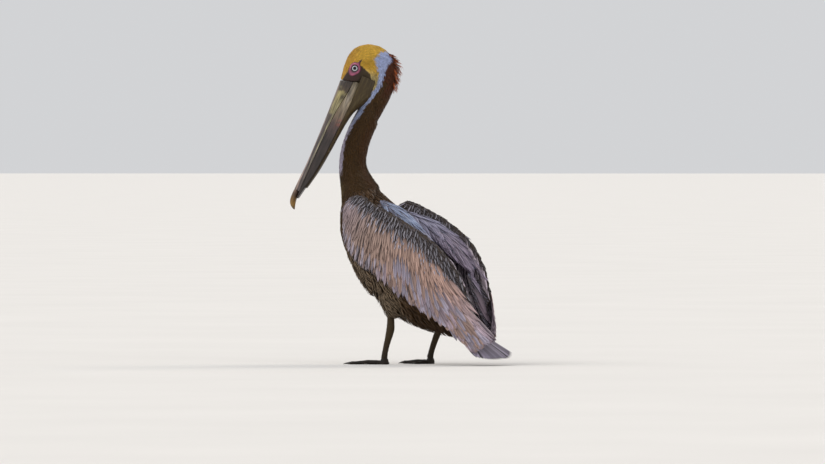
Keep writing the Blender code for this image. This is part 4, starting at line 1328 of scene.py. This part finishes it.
for side, place in eye_places.items():
    sign = 1 if side == "left" else -1
    low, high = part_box(f"eye_{side}")
    radius = (high.z - low.z) / 2
    outwards = (head_left * sign + UP * 0.12).normalized()
    ahead = UP.cross(outwards).normalized()
    if ahead.dot(head_back) > 0:
        ahead = -ahead
    upwards = outwards.cross(ahead) * (1 if outwards.cross(ahead).z > 0 else -1)

    ball = ball_of(f"eyeball_{side}", radius)
    places = points_of(ball.data)
    tilt = np.degrees(np.arctan2(np.linalg.norm(places[:, :2], axis=1), places[:, 2]))
    apart = radius / MILLIMETRE * np.sin(np.radians(np.minimum(tilt, 90)))
    places *= (1 + CORNEA_BULGE * np.clip(1 - apart / RIM, 0, 1) * (tilt < 90))[:, None]
    turned = np.array([ahead, upwards, outwards])
    ball.data.vertices.foreach_set("co", (places @ turned + np.array(place)).ravel())
    streaks = np.array([noise.noise(Vector((math.atan2(y, x) * 9, 0, 0))) for x, y, z in places])
    tones = ramp(apart, IRIS_TONES) * (1 + 0.12 * streaks)[:, None]
    tones[tilt > 90] = shade(BLACK)
    paint(ball.data, tones)
    if np.linalg.det(turned) > 0:
        ball.data.flip_normals()
    ball.data.shade_smooth()
    finish_piece(ball, eyeball, "eye", f"eye_{side}")

    points, tones = [], []
    for away, height, tone in LID_RINGS:
        for angle in np.linspace(0, 2 * math.pi, AROUND, endpoint=False):
            droop = max(0, math.cos(angle - DROOP_ANGLE))
            corner = math.exp(-(((math.degrees(angle) - CORNER_ANGLE) / CORNER_WIDTH) ** 2))
            reach_out = away * (1 + (DROOP * droop**4 if away > ON_BALL else 0))
            reach_out = (reach_out + corner * max(0, away - OUTER_LID) * CORNER_REACH) * MILLIMETRE
            spot = place + (ahead * math.cos(angle) + upwards * math.sin(angle)) * reach_out
            flush = noise.noise(Vector((math.cos(angle) * 1.6, math.sin(angle) * 1.6, away / 4)))
            # Lighter above the eye and darker below it: painted light from above and painted shade below
            tones.append(shade(tone) * (1 + 0.7 * flush + 0.25 * math.sin(angle)))
            if height is None:
                points.append(spot + outwards * depth_of_ball(radius, reach_out) * INSIDE_BALL)
                continue
            hit = skin_surface.ray_cast(spot + outwards * 0.03, -outwards)[0]
            face = (hit - spot).dot(outwards) if hit is not None else radius * 0.8
            if away < LID_EDGE:
                face = max(face, depth_of_ball(radius, reach_out))
            wrinkle = 0.22 * noise.noise(Vector((math.cos(angle) * 5, math.sin(angle) * 5, away)))
            raised = CORNER_HEIGHT * corner if away > OUTER_LID else 0
            points.append(spot + outwards * (face + (height + wrinkle + raised) * MILLIMETRE))
    mesh = bpy.data.meshes.new(f"lids_{side}")
    mesh.from_pydata(points, [], ring_faces(len(LID_RINGS)))
    paint(mesh, np.array(tones))
    lids = link(f"lids_{side}", mesh)
    work = bmesh.new()
    work.from_mesh(mesh)
    bmesh.ops.recalc_face_normals(work, faces=work.faces)
    work.faces.ensure_lookup_table()
    middle_face = work.faces[AROUND * 3]
    middle_face.normal_update()
    if middle_face.normal.dot(outwards) < 0:
        bmesh.ops.reverse_faces(work, faces=work.faces)
    work.to_mesh(mesh)
    work.free()
    apply_modifier(lids, "SOLIDIFY", thickness=LID_THICKNESS, offset=-1)
    apply_modifier(lids, "SUBSURF", levels=1, render_levels=1)
    mesh.shade_smooth()
    finish_piece(lids, lid_skin, "eye")


# ------------------------------------ Legs and feet
# Short stout legs and broad feet with a web between all four toes, in dark bare skin with small horny
# scales, and a worn claw of horn on each toe.
LEG_RAISED, LEG_LOWERED = 0.012, 0.006  # how far the leg goes on into the thigh and into the foot
KNOB_HEIGHT = 0.0004

# Leg skin: hard, dull and scaly. The scales are about two millimetres wide, and the colour is darker in the
# grooves between them.
scaly = new_material("scaly leg skin")
inputs = {"Vector": on_object(scaly), "Scale": 420}
gap = add_node(scaly, "TexVoronoi", inputs, feature="DISTANCE_TO_EDGE").outputs["Distance"]
gap = add_node(scaly, "MapRange", {"Value": gap, 1: 0.0, 2: 0.12, 3: 0.6, 4: 1.1}).outputs[0]
scales = relief(scaly, gap, strength=0.6, distance=0.0006)
finish_material(scaly, painted(scaly, gap), roughness=0.6, normal=scales, Specular_IOR_Level=0.25)

# Claw horn: dense dark keratin, polished by wear.
claw_horn = new_material("claw horn")
inputs = {"Vector": on_object(claw_horn), "Scale": 300, "Detail": 3}
streak = add_node(claw_horn, "TexNoise", inputs).outputs["Fac"]
finish_material(claw_horn, between(claw_horn, streak, "#16120F", "#3A322B"), roughness=0.35, IOR=1.54)

for side in ("left", "right"):
    leg = refined(f"leg_{side}_skin", f"leg_{side}", 3)
    places = points_of(leg.data)
    high = (places[:, 2] - places[:, 2].min()) / np.ptp(places[:, 2])
    places[:, 2] += (
        LEG_RAISED * np.clip((high - 0.85) / 0.15, 0, 1) - LEG_LOWERED * np.clip((0.1 - high) / 0.1, 0, 1)
    )
    leg.data.vertices.foreach_set("co", places.ravel())
    knobs = grain(places, (260, 260, 340), 1.0)
    displace(leg.data, KNOB_HEIGHT * knobs)
    tones = ramp(high, ((0, "#241A0C"), (0.5, "#33260E"), (1, "#36270C")))
    paint(leg.data, tones * (1 + 0.3 * knobs)[:, None])
    finish_piece(leg, scaly, "leg_skin", f"leg_{side}")

    foot = refined(f"foot_{side}_skin", f"foot_{side}", 2, crease=0.8)
    mottled = grain(points_of(foot.data), (120, 120, 120), 2.0)
    paint(foot.data, ramp(mottled, ((-0.5, "#15100B"), (0.5, "#261E17"))))
    finish_piece(foot, scaly, "leg_skin", f"foot_{side}")

    for node_name in [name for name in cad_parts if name.startswith(f"claw_{side}")]:
        finish_piece(refined(f"{node_name}_horn", node_name, 2), claw_horn, "claw_horn", node_name)
